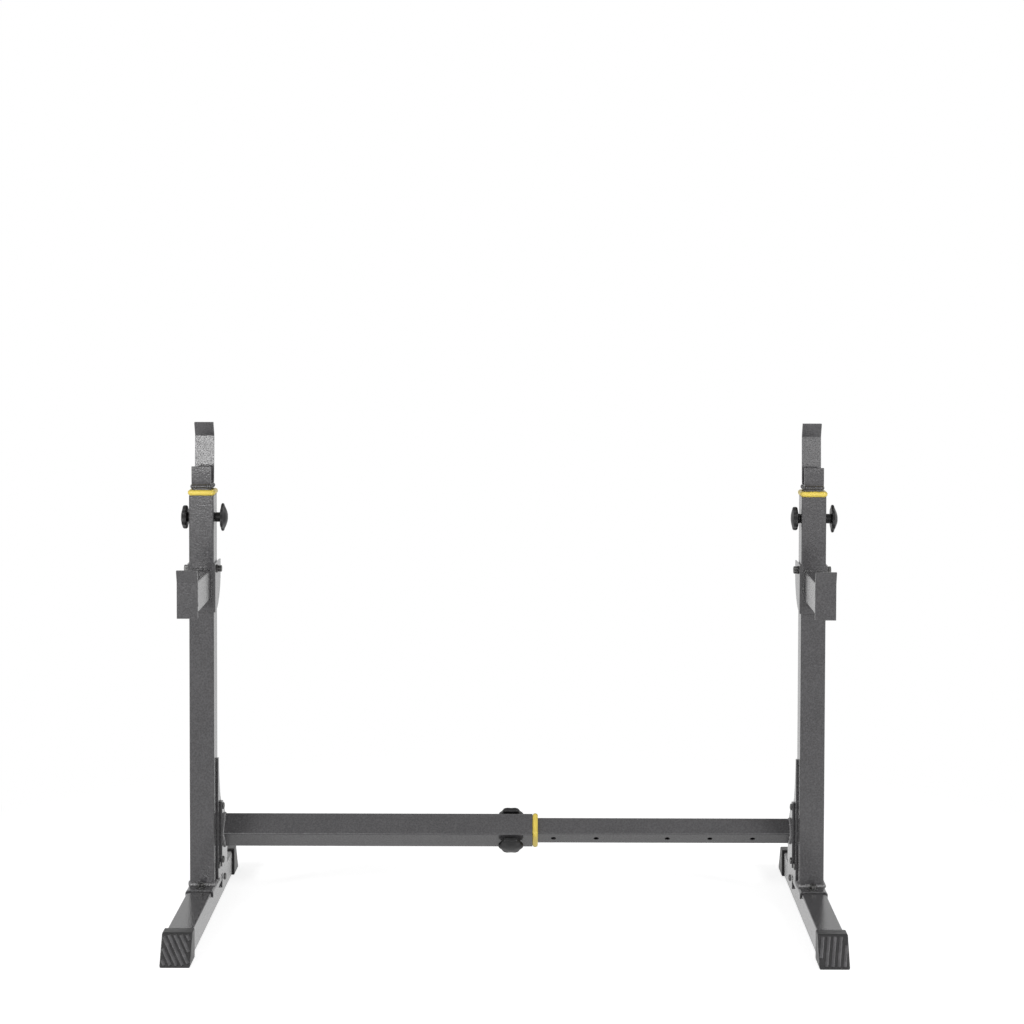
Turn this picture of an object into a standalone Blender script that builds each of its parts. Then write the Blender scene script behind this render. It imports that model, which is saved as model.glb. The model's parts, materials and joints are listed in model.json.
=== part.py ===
"""Squat stand: two free uprights with telescoping barbell posts and spotter arms, joined by a cross bar.

Metres, +Z up, +X to the right and +Y away from the lifter. It stands at its lowest and widest setting.
The origin is on the floor, at the centre of the object's box.
"""

import math

import bmesh
import bpy
from mathutils import Matrix, Vector

# Overall sizes
STAND_SPACING = 1.240  # between the centres of the two uprights
FOOT_LENGTH = 0.690  # over the rubber boots
UPRIGHT_TOP = 0.852  # top of the outer tube above the floor
UPRIGHT_SETBACK = 0.030  # centre of the upright behind the middle of the foot

# Stock
TUBE = 0.050  # side of the outer square tubes
TUBE_WALL = 0.002
TUBE_CORNER = 0.003
POST = 0.038  # side of the inner square tubes
POST_WALL = 0.002
POST_CORNER = 0.003
PLATE = 0.003  # saddles and arm brackets
GUSSET_PLATE = 0.0038
END_PLATE = 0.0045  # ends of the cross bar and of the arms

# Clearances
GAP = 0.0003  # between pieces that touch
GLIDE_GAP = 0.0005  # between a plastic guide and the tube that slides in it
HOLE_GAP = 0.0003  # round a shank in its hole

# Rubber boots on the feet
BOOT_WALL = 0.0035
BOOT_CORNER = 0.0045
BOOT_TOP_LENGTH = 0.030
BOOT_SLOPE = 0.034  # how far the bottom of the end face runs out beyond its top
BOOT_END_WALL = 0.003

# Saddle that carries the upright on its foot
SADDLE_LENGTH = 0.126
SADDLE_DROP = 0.011
SADDLE_BOLT_SPACING = 0.088

# Telescoping post and its barbell hook
POST_SHORT = 0.102  # shorter than the top of the upright is high
POST_GRIP = 0.080  # least length of post left below the knob
POST_HOLE_PITCH = 0.050
HOOK_LIFT = 0.007  # under the hook, above the plastic guide
HOOK_WIDTH = 0.039
HOOK_PLATE = 0.005
HOOK_BEND = 0.005  # inner radius of its bends
HOOK_LIP = 0.041
HOOK_BACK = 0.101
HOOK_BACK_LEAN = 3.0  # degrees, away from the lifter
HOOK_MOUTH = 0.040
HOOK_TAB = 0.029
HOOK_TAB_LEAN = 25.0  # degrees, towards the lifter

# Plastic guides in the tube mouths
GUIDE_FLANGE = 0.011
GUIDE_LIP = 0.003
GUIDE_SLEEVE = 0.030
GLIDE_HEAD = 0.0045  # of the plugs on the hidden ends of the inner tubes
GLIDE_PLUG = 0.012

# Clamp knobs
STUD = 0.010
STUD_SEAT = 0.008  # depth of the stud in its knob
KNOB_DROP = 0.046  # below the top of the upright
KNOB_LOBES = 6
SMALL_KNOB = 0.048
SMALL_KNOB_RIM = 0.0105
SMALL_KNOB_HUB = 0.0055
LARGE_KNOB = 0.057
LARGE_KNOB_RIM = 0.006
LARGE_KNOB_HUB = 0.0125
BAR_KNOB = 0.052
BAR_KNOB_RIM = 0.0105
BAR_KNOB_HUB = 0.005
KNOB_HUB_RADIUS = 0.0098
KNOB_DOME = 0.003
LARGE_KNOB_DOME = 0.007

# Spotter arms
ARM_DROP = 0.149  # top of the arm below the top of the upright
ARM_WIDTH = 0.040
ARM_HEIGHT = 0.060
ARM_REACH = 0.179  # from the front of the upright to the end of the tube
ARM_CAP_WIDTH = 0.041
ARM_CAP_BELOW = 0.011
ARM_CAP_LIP = 0.025
ARM_CAP_LEAN = 20.0  # degrees, away from the upright
BRACKET_HEIGHT = 0.099
BRACKET_RISE = 0.011  # above the top of the arm
BRACKET_DEPTH = 0.081
BRACKET_SWEEP = 0.077  # radius of its lower rear edge
ARM_BOLT_DROP = 0.013

# Gusset plates between upright, foot and cross bar
GUSSET_TOP = 0.310
GUSSET_LAP = 0.019  # over the side of the upright
GUSSET_TIP = 0.010
GUSSET_SHOULDER = 0.225
GUSSET_SHOULDER_REACH = 0.013  # behind the upright
GUSSET_HAUNCH_MARGIN = 0.006  # behind the end plate of the cross bar
GUSSET_HAUNCH = 0.155
GUSSET_TAIL_REACH = 0.111
GUSSET_FOOT_LAP = 0.027
GUSSET_BOLT_HEIGHT = 0.087
GUSSET_BOLT_INSET = 0.0095
GUSSET_TAIL_BOLT_INSET = 0.036
GUSSET_SAG = 0.005  # hollow of its upper rear edge

# Cross bar
BAR_HEIGHT = 0.148
BAR_SETBACK = 0.003  # front edge of its end plates behind the upright
BAR_MOUTH = 0.052  # end of the outer tube, from the middle
BAR_OVERLAP = 0.112  # of the inner tube in the outer one
BAR_KNOB_X = 0.0075
BAR_HOLE_PITCH = 0.0882
BAR_HOLE_STEP = 0.1470  # between the two groups of three holes
BAR_END_MARGIN = 0.0033  # before and behind the tube's corners
BAR_END_BOLT_MARGIN = 0.0218  # from the tube's corners to the bolts
BAR_END_EDGE = 0.0115  # beyond the bolts
BAR_END_TIP = 0.014
BAR_END_BOLT_INSET = 0.014  # behind the plate's front edge

# Screws
SHANK = 0.008
HEX_FLATS = 0.013
HEX_HEAD = 0.008
LOW_HEAD = 0.014
LOW_HEAD_HEIGHT = 0.0035
NUT_HEIGHT = 0.0065
WASHER = 0.017
WASHER_HEIGHT = 0.0016

# Roundness
CORNER_STEPS = 4
ROUND_STEPS = 24
SHANK_STEPS = 12
LOBE_STEPS = 6

# Where things lie
BORE = TUBE - 2 * TUBE_WALL
FOOT_BOTTOM = BOOT_WALL + GAP
FOOT_TOP = FOOT_BOTTOM + TUBE
SADDLE_TOP = FOOT_TOP + GAP + PLATE
UPRIGHT_BOTTOM = SADDLE_TOP + GAP
UPRIGHT_FRONT = UPRIGHT_SETBACK - TUBE / 2
UPRIGHT_REAR = UPRIGHT_SETBACK + TUBE / 2
GUIDE_TOP = UPRIGHT_TOP + GAP + GUIDE_FLANGE
HOOK_BOTTOM = GUIDE_TOP + HOOK_LIFT
POST_TOP = HOOK_BOTTOM - GAP
POST_LENGTH = UPRIGHT_TOP - POST_SHORT
POST_BOTTOM = POST_TOP - POST_LENGTH
KNOB_HEIGHT = UPRIGHT_TOP - KNOB_DROP
POST_TRAVEL = POST_HOLE_PITCH * math.floor((KNOB_HEIGHT - POST_BOTTOM - POST_GRIP) / POST_HOLE_PITCH)
ARM_TOP = UPRIGHT_TOP - ARM_DROP
BRACKET_TOP = ARM_TOP + BRACKET_RISE
BRACKET_BOTTOM = BRACKET_TOP - BRACKET_HEIGHT
TUBE_HALF_DIAGONAL = TUBE / math.sqrt(2) - TUBE_CORNER * (math.sqrt(2) - 1)
BAR_END_HALF_DEPTH = TUBE_HALF_DIAGONAL + BAR_END_MARGIN
BAR_END_BOLT_HEIGHT = TUBE_HALF_DIAGONAL + BAR_END_BOLT_MARGIN
BAR_END_HALF_HEIGHT = BAR_END_BOLT_HEIGHT + BAR_END_EDGE
BAR_Y = UPRIGHT_REAR + BAR_SETBACK + BAR_END_HALF_DEPTH
GUSSET_HAUNCH_REACH = BAR_SETBACK + 2 * BAR_END_HALF_DEPTH + GUSSET_HAUNCH_MARGIN
GUSSET_NEAR = TUBE / 2 + GAP
GUSSET_FAR = GUSSET_NEAR + GUSSET_PLATE
BAR_END_NEAR = GUSSET_FAR + GAP
BAR_END_FAR = BAR_END_NEAR + END_PLATE

# The knobs stand out further on the right than on the left, and the origin is midway between them.
LEFT_PROUD = SMALL_KNOB_HUB + SMALL_KNOB_RIM + KNOB_DOME
RIGHT_PROUD = LARGE_KNOB_HUB + LARGE_KNOB_RIM + LARGE_KNOB_DOME
MIDDLE = (LEFT_PROUD - RIGHT_PROUD) / 2

# Local x, y, z of a flat outline and its thickness, turned to run along a world axis
ALONG_Z = Matrix.Identity(4)
ALONG_X = Matrix(((0, 0, 1, 0), (1, 0, 0, 0), (0, 1, 0, 0), (0, 0, 0, 1)))
ALONG_MINUS_Y = Matrix(((1, 0, 0, 0), (0, 0, -1, 0), (0, 1, 0, 0), (0, 0, 0, 1)))

PAINT = ("hammertone_grey_paint", (0.115, 0.115, 0.118), 0.38, 0.55)
GUIDE_PLASTIC = ("yellow_plastic", (0.83, 0.60, 0.07), 0.42, 0.0)
KNOB_PLASTIC = ("black_plastic", (0.018, 0.018, 0.018), 0.45, 0.0)
RUBBER = ("black_rubber", (0.035, 0.035, 0.036), 0.75, 0.0)
ZINC = ("zinc_plated_steel", (0.62, 0.62, 0.60), 0.32, 1.0)


def clear_scene():
    for obj in list(bpy.data.objects):
        bpy.data.objects.remove(obj)


def new_collection(name):
    collection = bpy.data.collections.new(name)
    bpy.context.scene.collection.children.link(collection)
    return collection


def finish_of(finish):
    """The Principled material of a finish, made the first time it is asked for."""
    name, colour, roughness, metallic = finish
    material = bpy.data.materials.get(name)
    if material is None:
        material = bpy.data.materials.new(name)
        material.use_nodes = True
        shader = material.node_tree.nodes["Principled BSDF"]
        shader.inputs["Base Color"].default_value = (*colour, 1.0)
        shader.inputs["Roughness"].default_value = roughness
        shader.inputs["Metallic"].default_value = metallic
        material.diffuse_color = (*colour, 1.0)
    return material


def arc(centre, radius, start, end, steps=CORNER_STEPS):
    """Points on an arc, from one angle to another in degrees, with both ends."""
    points = []
    for step in range(steps + 1):
        angle = math.radians(start + (end - start) * step / steps)
        points.append((centre[0] + radius * math.cos(angle), centre[1] + radius * math.sin(angle)))
    return points


def rounded_square(side, corner):
    half = side / 2 - corner
    points = []
    for quarter, (x, y) in enumerate(((1, 1), (-1, 1), (-1, -1), (1, -1))):
        points += arc((x * half, y * half), corner, 90 * quarter, 90 * quarter + 90)
    return points


def rectangle(left, right, bottom, top):
    return [(left, bottom), (right, bottom), (right, top), (left, top)]


def bent_strip(corners, thickness, inner_radius):
    """The edge outline of a plate whose middle line runs through the corners, each bend rounded."""
    radius = inner_radius + thickness / 2
    line = [Vector(corner) for corner in corners]
    middle = [(line[0], (line[1] - line[0]).normalized())]
    for before, corner, after in zip(line, line[1:], line[2:]):
        into = (corner - before).normalized()
        out = (after - corner).normalized()
        turn = into.angle_signed(out)
        reach = radius * math.tan(abs(turn) / 2)
        start = corner - into * reach
        for step in range(CORNER_STEPS + 1):
            part = turn * step / CORNER_STEPS
            heading = Matrix.Rotation(-part, 2) @ into
            side = math.copysign(1, turn)
            pivot = start + side * radius * Vector((into.y, -into.x))
            middle.append((pivot - side * radius * Vector((heading.y, -heading.x)), heading))
    middle.append((line[-1], (line[-1] - line[-2]).normalized()))
    left = [point + Vector((-heading.y, heading.x)) * thickness / 2 for point, heading in middle]
    right = [point - Vector((-heading.y, heading.x)) * thickness / 2 for point, heading in middle]
    return [tuple(point) for point in left + right[::-1]]


def extruded(outlines, length):
    """A closed mesh of flat outlines, the inner ones holes, from z 0 to its length."""
    curve = bpy.data.curves.new("outline", "CURVE")
    curve.dimensions = "2D"
    curve.fill_mode = "BOTH"
    curve.extrude = length / 2
    for outline in outlines:
        spline = curve.splines.new("POLY")
        spline.points.add(len(outline) - 1)
        spline.use_cyclic_u = True
        for point, (x, y) in zip(spline.points, outline):
            point.co = (x, y, 0, 1)
    holder = bpy.data.objects.new("outline", curve)
    bpy.context.scene.collection.objects.link(holder)
    graph = bpy.context.evaluated_depsgraph_get()
    mesh = bpy.data.meshes.new_from_object(holder.evaluated_get(graph))
    bpy.data.objects.remove(holder)
    bpy.data.curves.remove(curve)
    mesh.transform(Matrix.Translation((0, 0, length / 2)))
    return welded(mesh)


def welded(mesh):
    """The mesh with its loose caps sewn on and every face turned outwards."""
    shape = bmesh.new()
    shape.from_mesh(mesh)
    bmesh.ops.remove_doubles(shape, verts=shape.verts, dist=1e-6)
    bmesh.ops.recalc_face_normals(shape, faces=shape.faces)
    shape.to_mesh(mesh)
    shape.free()
    return mesh


def prism(radius, start, end, steps=ROUND_STEPS, top_radius=None):
    """A closed round or polygonal prism, or a cone, along z."""
    shape = bmesh.new()
    bmesh.ops.create_cone(
        shape,
        cap_ends=True,
        segments=steps,
        radius1=radius,
        radius2=radius if top_radius is None else top_radius,
        depth=end - start,
        matrix=Matrix.Translation((0, 0, (start + end) / 2)),
    )
    mesh = bpy.data.meshes.new("prism")
    shape.to_mesh(mesh)
    shape.free()
    return mesh


def hexagon(flats, start, end):
    return prism(flats / math.sqrt(3), start, end, steps=6)


def placed(name, mesh, finish, placement):
    """A node of the object: its mesh, where it goes and its finish."""
    obj = bpy.data.objects.new(name, mesh)
    obj.matrix_world = placement
    mesh.materials.clear()
    mesh.materials.append(finish_of(finish))
    if hasattr(mesh, "shade_smooth"):
        mesh.shade_smooth()
        mesh.set_sharp_from_angle(angle=math.radians(30))
    PARTS.objects.link(obj)
    return obj


def boolean(target, mesh, placement, operation):
    """Cuts the mesh out of the target, or joins it on, with a live modifier and a hidden helper."""
    helper = bpy.data.objects.new(f"{target.name}_{operation.lower()}_{len(target.modifiers)}", mesh)
    helper.matrix_world = placement
    helper.hide_render = True
    helper.display_type = "WIRE"
    CUTTERS.objects.link(helper)
    modifier = target.modifiers.new(helper.name, "BOOLEAN")
    modifier.operation = operation
    modifier.object = helper
    modifier.solver = "EXACT"
    return helper


def soften(obj, width, segments=1):
    modifier = obj.modifiers.new("soft_edges", "BEVEL")
    modifier.width = width
    modifier.segments = segments
    modifier.limit_method = "ANGLE"
    modifier.angle_limit = math.radians(50)


def drill(target, placement, diameter, start, end):
    """A round hole along the placement's z axis."""
    boolean(target, prism(diameter / 2 + HOLE_GAP, start, end, SHANK_STEPS), placement, "DIFFERENCE")


def drill_row(target, places, direction):
    """Stud holes through both walls of the target at the places, cut at once."""
    row = bmesh.new()
    for place in places:
        one = prism(STUD / 2 + HOLE_GAP, -POST, POST, SHANK_STEPS)
        one.transform(facing(place, direction))
        row.from_mesh(one)
        bpy.data.meshes.remove(one)
    mesh = bpy.data.meshes.new("row_of_holes")
    row.to_mesh(mesh)
    row.free()
    boolean(target, mesh, ALONG_Z, "DIFFERENCE")


def facing(point, direction):
    """A placement at the point with its z axis along the direction."""
    return Matrix.Translation(point) @ Vector(direction).to_track_quat("Z", "Y").to_matrix().to_4x4()


def made_once(name, build):
    """The finished mesh of a piece that is used many times."""
    mesh = bpy.data.meshes.get(name)
    if mesh is None:
        master = build()
        bpy.context.view_layer.update()
        graph = bpy.context.evaluated_depsgraph_get()
        mesh = bpy.data.meshes.new_from_object(master.evaluated_get(graph))
        mesh.name = name
        for modifier in master.modifiers:
            if modifier.type == "BOOLEAN":
                bpy.data.objects.remove(modifier.object)
        bpy.data.objects.remove(master)
    return mesh


def fused(*meshes):
    """An object whose mesh is the union of the meshes, all in one frame."""
    base = placed("master", meshes[0], ZINC, ALONG_Z)
    for mesh in meshes[1:]:
        boolean(base, mesh, ALONG_Z, "UNION")
    return base


def hex_bolt(shank):
    """A hex bolt with its washer, standing on z 0, its shank running down."""
    washer_top = GAP + WASHER_HEIGHT
    return fused(
        prism(WASHER / 2, GAP, washer_top),
        hexagon(HEX_FLATS, washer_top - GAP, washer_top + HEX_HEAD),
        prism(SHANK / 2, -shank, washer_top - GAP, SHANK_STEPS),
    )


def low_bolt(shank):
    """A bolt with a low round head, standing on z 0, its shank running down."""
    return fused(
        prism(LOW_HEAD / 2, GAP, LOW_HEAD_HEIGHT, top_radius=LOW_HEAD / 2 - LOW_HEAD_HEIGHT / 2),
        prism(SHANK / 2, -shank, LOW_HEAD_HEIGHT / 2, SHANK_STEPS),
    )


def lobed(diameter):
    """A round outline with shallow hollows between its lobes, one lobe pointing along y."""
    hollow = diameter / 14
    count = KNOB_LOBES * LOBE_STEPS
    points = []
    for step in range(count):
        angle = 2 * math.pi * step / count
        radius = diameter / 2 - hollow * (1 + math.cos(KNOB_LOBES * angle)) / 2
        points.append((radius * math.cos(angle), radius * math.sin(angle)))
    return points


def knob_head(diameter, rim, hub, dome):
    """A lobed knob that stands on z 0, with a blind hole for its stud."""
    grip = extruded([lobed(diameter)], rim)
    grip.transform(Matrix.Translation((0, 0, hub)))
    head = placed("master", grip, KNOB_PLASTIC, ALONG_Z)
    soften(head, rim / 4)
    boolean(head, prism(KNOB_HUB_RADIUS, GAP, hub + rim / 2), ALONG_Z, "UNION")
    crown = prism(diameter * 0.34, hub + rim / 2, hub + rim + dome, top_radius=diameter * 0.2)
    boolean(head, crown, ALONG_Z, "UNION")
    drill(head, ALONG_Z, STUD, 0, STUD_SEAT + GAP)
    return head


def square_tube(name, side, wall, corner, length, placement, finish=PAINT):
    inner = side / 2 - wall
    outlines = [rounded_square(side, corner), rectangle(-inner, inner, -inner, inner)]
    return placed(name, extruded(outlines, length), finish, placement)


def clamp_knob(name, placement, head_mesh):
    """A knob head and its stud, which ends just short of the tube that it locks."""
    placed(f"{name}_head", head_mesh, KNOB_PLASTIC, placement)
    reach = TUBE_WALL + (BORE - POST) / 2 - GAP
    stud = made_once("stud", lambda: fused(prism(STUD / 2, -reach, STUD_SEAT, SHANK_STEPS)))
    placed(f"{name}_stud", stud, ZINC, placement)


def guide(name, placement):
    """A plastic guide: a flange on the tube's mouth at z 0 and a sleeve down its bore."""
    lip = TUBE + 2 * GUIDE_LIP
    flange = extruded([rounded_square(lip, TUBE_CORNER + GUIDE_LIP)], GUIDE_FLANGE)
    flange.transform(Matrix.Translation((0, 0, GAP)))
    body = placed(name, flange, GUIDE_PLASTIC, placement)
    soften(body, GUIDE_LIP / 2, 2)
    half = BORE / 2 - GAP
    sleeve = extruded([rectangle(-half, half, -half, half)], GUIDE_SLEEVE + GUIDE_FLANGE / 2)
    sleeve.transform(Matrix.Translation((0, 0, -GUIDE_SLEEVE)))
    boolean(body, sleeve, placement, "UNION")
    opening = POST / 2 + GLIDE_GAP
    through = extruded([rectangle(-opening, opening, -opening, opening)], 2 * (GUIDE_SLEEVE + GUIDE_FLANGE))
    through.transform(Matrix.Translation((0, 0, -GUIDE_SLEEVE - GUIDE_FLANGE)))
    boolean(body, through, placement, "DIFFERENCE")


def glide(name, placement):
    """A plastic plug on the end of an inner tube at z 0, which centres it in the outer one."""
    half = BORE / 2 - GLIDE_GAP
    head = extruded([rectangle(-half, half, -half, half)], GLIDE_HEAD)
    head.transform(Matrix.Translation((0, 0, -GLIDE_HEAD - GAP)))
    body = placed(name, head, KNOB_PLASTIC, placement)
    plug_half = POST / 2 - POST_WALL - GAP
    plug = extruded([rectangle(-plug_half, plug_half, -plug_half, plug_half)], GLIDE_PLUG + GLIDE_HEAD)
    plug.transform(Matrix.Translation((0, 0, -GLIDE_HEAD)))
    boolean(body, plug, placement, "UNION")


class Stand:
    """One side of the object. Places are given outwards from its own upright, y and z as in the world."""

    def __init__(self, name, side):
        self.name = name
        self.side = side
        self.x = MIDDLE + side * STAND_SPACING / 2

    def node(self, piece):
        return f"{self.name}_{piece}"

    def at(self, inward, y, z):
        return Vector((self.x - self.side * inward, y, z))

    def across(self, near, far):
        """The placement of an outline in y and z that is extruded from one inward distance to another."""
        low = min(self.x - self.side * near, self.x - self.side * far)
        return Matrix.Translation((low, 0, 0)) @ ALONG_X

    def inner_face(self, inward, y, z):
        """A placement on a face that looks at the other stand."""
        return facing(self.at(inward, y, z), (-self.side, 0, 0))

    def outer_face(self, outward, y, z):
        return facing(self.at(-outward, y, z), (self.side, 0, 0))


def make_foot(stand):
    end = FOOT_LENGTH / 2 - BOOT_SLOPE - BOOT_END_WALL
    placement = Matrix.Translation((stand.x, end, FOOT_BOTTOM + TUBE / 2)) @ ALONG_MINUS_Y
    foot = square_tube(stand.node("foot_tube"), TUBE, TUBE_WALL, TUBE_CORNER, 2 * end, placement)
    for y in saddle_bolt_places():
        drill(foot, Matrix.Translation((stand.x, y, FOOT_TOP)), SHANK, -2 * TUBE_WALL, GAP)
    tail = gusset_tail_bolt()
    drill(foot, stand.inner_face(TUBE / 2, *tail), SHANK, -2 * TUBE_WALL, GAP)
    for end_name, facing_way in (("front", -1), ("rear", 1)):
        make_boot(stand, end_name, facing_way, end)


def make_boot(stand, end_name, way, tube_end):
    """A rubber boot slipped over one end of the foot tube, its end face sloping out to the floor."""
    height = TUBE + 2 * (GAP + BOOT_WALL)
    tip = FOOT_LENGTH / 2
    mouth = tip - BOOT_SLOPE - BOOT_TOP_LENGTH
    outline = [(way * mouth, 0), (way * tip, 0), (way * (tip - BOOT_SLOPE), height), (way * mouth, height)]
    boot = placed(
        stand.node(f"boot_{end_name}"),
        extruded([outline], height),
        RUBBER,
        stand.across(-height / 2, height / 2),
    )
    soften(boot, BOOT_CORNER / 2, 2)
    socket = TUBE / 2 + GAP
    pocket = extruded([rectangle(-socket, socket, -socket, socket)], tube_end + GAP - mouth + BOOT_TOP_LENGTH)
    start = mouth - BOOT_TOP_LENGTH if way < 0 else -(tube_end + GAP)
    placement = Matrix.Translation((stand.x, -start, FOOT_BOTTOM + TUBE / 2)) @ ALONG_MINUS_Y
    boolean(boot, pocket, placement, "DIFFERENCE")


def saddle_bolt_places():
    return [UPRIGHT_SETBACK - SADDLE_BOLT_SPACING / 2, UPRIGHT_SETBACK + SADDLE_BOLT_SPACING / 2]


def make_saddle(stand):
    side = TUBE / 2 + GAP + PLATE / 2
    top = SADDLE_TOP - PLATE / 2
    bottom = FOOT_TOP - SADDLE_DROP
    outline = bent_strip([(-side, bottom), (-side, top), (side, top), (side, bottom)], PLATE, TUBE_CORNER)
    placement = Matrix.Translation((stand.x, UPRIGHT_SETBACK + SADDLE_LENGTH / 2, 0)) @ ALONG_MINUS_Y
    saddle = placed(stand.node("saddle"), extruded([outline], SADDLE_LENGTH), PAINT, placement)
    bolt = made_once("plate_bolt", lambda: hex_bolt(PLATE + GAP + TUBE_WALL))
    for place, y in zip(("front", "rear"), saddle_bolt_places()):
        placement = Matrix.Translation((stand.x, y, SADDLE_TOP))
        drill(saddle, placement, SHANK, -2 * PLATE, PLATE)
        placed(stand.node(f"saddle_bolt_{place}"), bolt, ZINC, placement)


def make_upright(stand):
    placement = Matrix.Translation((stand.x, UPRIGHT_SETBACK, UPRIGHT_BOTTOM))
    length = UPRIGHT_TOP - UPRIGHT_BOTTOM
    upright = square_tube(stand.node("upright_tube"), TUBE, TUBE_WALL, TUBE_CORNER, length, placement)
    inside = -TUBE_WALL - GAP
    for face in (stand.inner_face, stand.outer_face):
        drill(upright, face(TUBE / 2, UPRIGHT_SETBACK, KNOB_HEIGHT), STUD, 2 * inside, GAP)
        drill(upright, face(TUBE / 2, UPRIGHT_SETBACK, arm_bolt_height()), SHANK, 2 * inside, GAP)
    drill(upright, stand.inner_face(TUBE / 2, *gusset_front_bolt()), SHANK, 2 * inside, GAP)
    guide(stand.node("upright_guide"), Matrix.Translation((stand.x, UPRIGHT_SETBACK, UPRIGHT_TOP)))


def make_post(stand):
    placement = Matrix.Translation((stand.x, UPRIGHT_SETBACK, POST_BOTTOM))
    post = square_tube(stand.node("post_tube"), POST, POST_WALL, POST_CORNER, POST_LENGTH, placement)
    holes = range(round(POST_TRAVEL / POST_HOLE_PITCH) + 1)
    heights = [KNOB_HEIGHT - hole * POST_HOLE_PITCH for hole in holes]
    drill_row(post, [(stand.x, UPRIGHT_SETBACK, height) for height in heights], (1, 0, 0))
    glide(stand.node("post_glide"), placement)


def make_hook(stand):
    """A plate bent into a J that cradles the barbell, with a guide tab on top."""
    lip = UPRIGHT_SETBACK - (HOOK_MOUTH + HOOK_PLATE) / 2
    back = UPRIGHT_SETBACK + (HOOK_MOUTH + HOOK_PLATE) / 2
    floor = HOOK_BOTTOM + HOOK_PLATE / 2
    back_lean = math.radians(HOOK_BACK_LEAN)
    tab_lean = math.radians(HOOK_TAB_LEAN)
    bend = Vector((back + HOOK_BACK * math.tan(back_lean), HOOK_BOTTOM + HOOK_BACK))
    corners = [
        (lip, HOOK_BOTTOM + HOOK_LIP),
        (lip, floor),
        (back, floor),
        bend,
        bend + HOOK_TAB * Vector((-math.sin(tab_lean), math.cos(tab_lean))),
    ]
    outline = bent_strip(corners, HOOK_PLATE, HOOK_BEND)
    mesh = extruded([outline], HOOK_WIDTH)
    placed(stand.node("barbell_hook"), mesh, PAINT, stand.across(-HOOK_WIDTH / 2, HOOK_WIDTH / 2))


def make_upright_knobs(stand):
    """A small knob on the left face and a large one on the right face, on both stands alike."""
    small = made_once(
        "small_knob", lambda: knob_head(SMALL_KNOB, SMALL_KNOB_RIM, SMALL_KNOB_HUB, KNOB_DOME)
    )
    large = made_once(
        "large_knob", lambda: knob_head(LARGE_KNOB, LARGE_KNOB_RIM, LARGE_KNOB_HUB, LARGE_KNOB_DOME)
    )
    for size, mesh, way in (("small", small, -1), ("large", large, 1)):
        face = Vector((stand.x + way * TUBE / 2, UPRIGHT_SETBACK, KNOB_HEIGHT))
        clamp_knob(stand.node(f"{size}_knob"), facing(face, (way, 0, 0)), mesh)


def arm_bolt_height():
    return BRACKET_TOP - ARM_BOLT_DROP


def make_bracket(stand):
    """A channel round the front of the upright, its sides swept back and up."""
    side = TUBE / 2 + GAP + PLATE / 2
    front = UPRIGHT_FRONT - GAP - PLATE / 2
    rear = front - PLATE / 2 + BRACKET_DEPTH
    outline = bent_strip([(-side, rear), (-side, front), (side, front), (side, rear)], PLATE, TUBE_CORNER)
    bracket = placed(
        stand.node("arm_bracket"),
        extruded([outline], BRACKET_HEIGHT),
        PAINT,
        Matrix.Translation((stand.x, 0, BRACKET_BOTTOM)),
    )
    sweep_centre = (rear - BRACKET_SWEEP, BRACKET_BOTTOM + BRACKET_SWEEP)
    margin = PLATE
    profile = [(front - margin, BRACKET_TOP + margin), (front - margin, BRACKET_BOTTOM)]
    profile += arc(sweep_centre, BRACKET_SWEEP, -90, 0, 2 * CORNER_STEPS)
    profile.append((rear, BRACKET_TOP + margin))
    swept = extruded([profile], 2 * TUBE)
    boolean(bracket, swept, stand.across(-TUBE, TUBE), "INTERSECT")
    near = TUBE / 2 + GAP + PLATE
    bolt = made_once("plate_bolt", lambda: hex_bolt(PLATE + GAP + TUBE_WALL))
    for place, face in (("inner", stand.inner_face), ("outer", stand.outer_face)):
        placement = face(near, UPRIGHT_SETBACK, arm_bolt_height())
        drill(bracket, placement, SHANK, -2 * PLATE, PLATE)
        placed(stand.node(f"arm_bolt_{place}"), bolt, ZINC, placement)


def make_arm(stand):
    start = UPRIGHT_FRONT - 2 * GAP - PLATE
    end = UPRIGHT_FRONT - ARM_REACH
    outer = [(x * ARM_WIDTH / TUBE, y * ARM_HEIGHT / TUBE) for x, y in rounded_square(TUBE, TUBE_CORNER)]
    half_width = ARM_WIDTH / 2 - TUBE_WALL
    half_height = ARM_HEIGHT / 2 - TUBE_WALL
    inner = rectangle(-half_width, half_width, -half_height, half_height)
    middle = ARM_TOP - ARM_HEIGHT / 2
    placed(
        stand.node("arm_tube"),
        extruded([outer, inner], start - end),
        PAINT,
        Matrix.Translation((stand.x, start, middle)) @ ALONG_MINUS_Y,
    )
    plate_y = end - GAP - END_PLATE / 2
    lean = math.radians(ARM_CAP_LEAN)
    corners = [
        (plate_y, ARM_TOP - ARM_HEIGHT - ARM_CAP_BELOW),
        (plate_y, ARM_TOP),
        (plate_y - ARM_CAP_LIP * math.sin(lean), ARM_TOP + ARM_CAP_LIP * math.cos(lean)),
    ]
    cap = extruded([bent_strip(corners, END_PLATE, HOOK_BEND)], ARM_CAP_WIDTH)
    placed(stand.node("arm_end_plate"), cap, PAINT, stand.across(-ARM_CAP_WIDTH / 2, ARM_CAP_WIDTH / 2))


def gusset_front_bolt():
    return UPRIGHT_REAR - GUSSET_BOLT_INSET, GUSSET_BOLT_HEIGHT


def gusset_tail_bolt():
    return UPRIGHT_REAR + GUSSET_TAIL_REACH - GUSSET_TAIL_BOLT_INSET, FOOT_TOP - GUSSET_FOOT_LAP / 2


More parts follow.
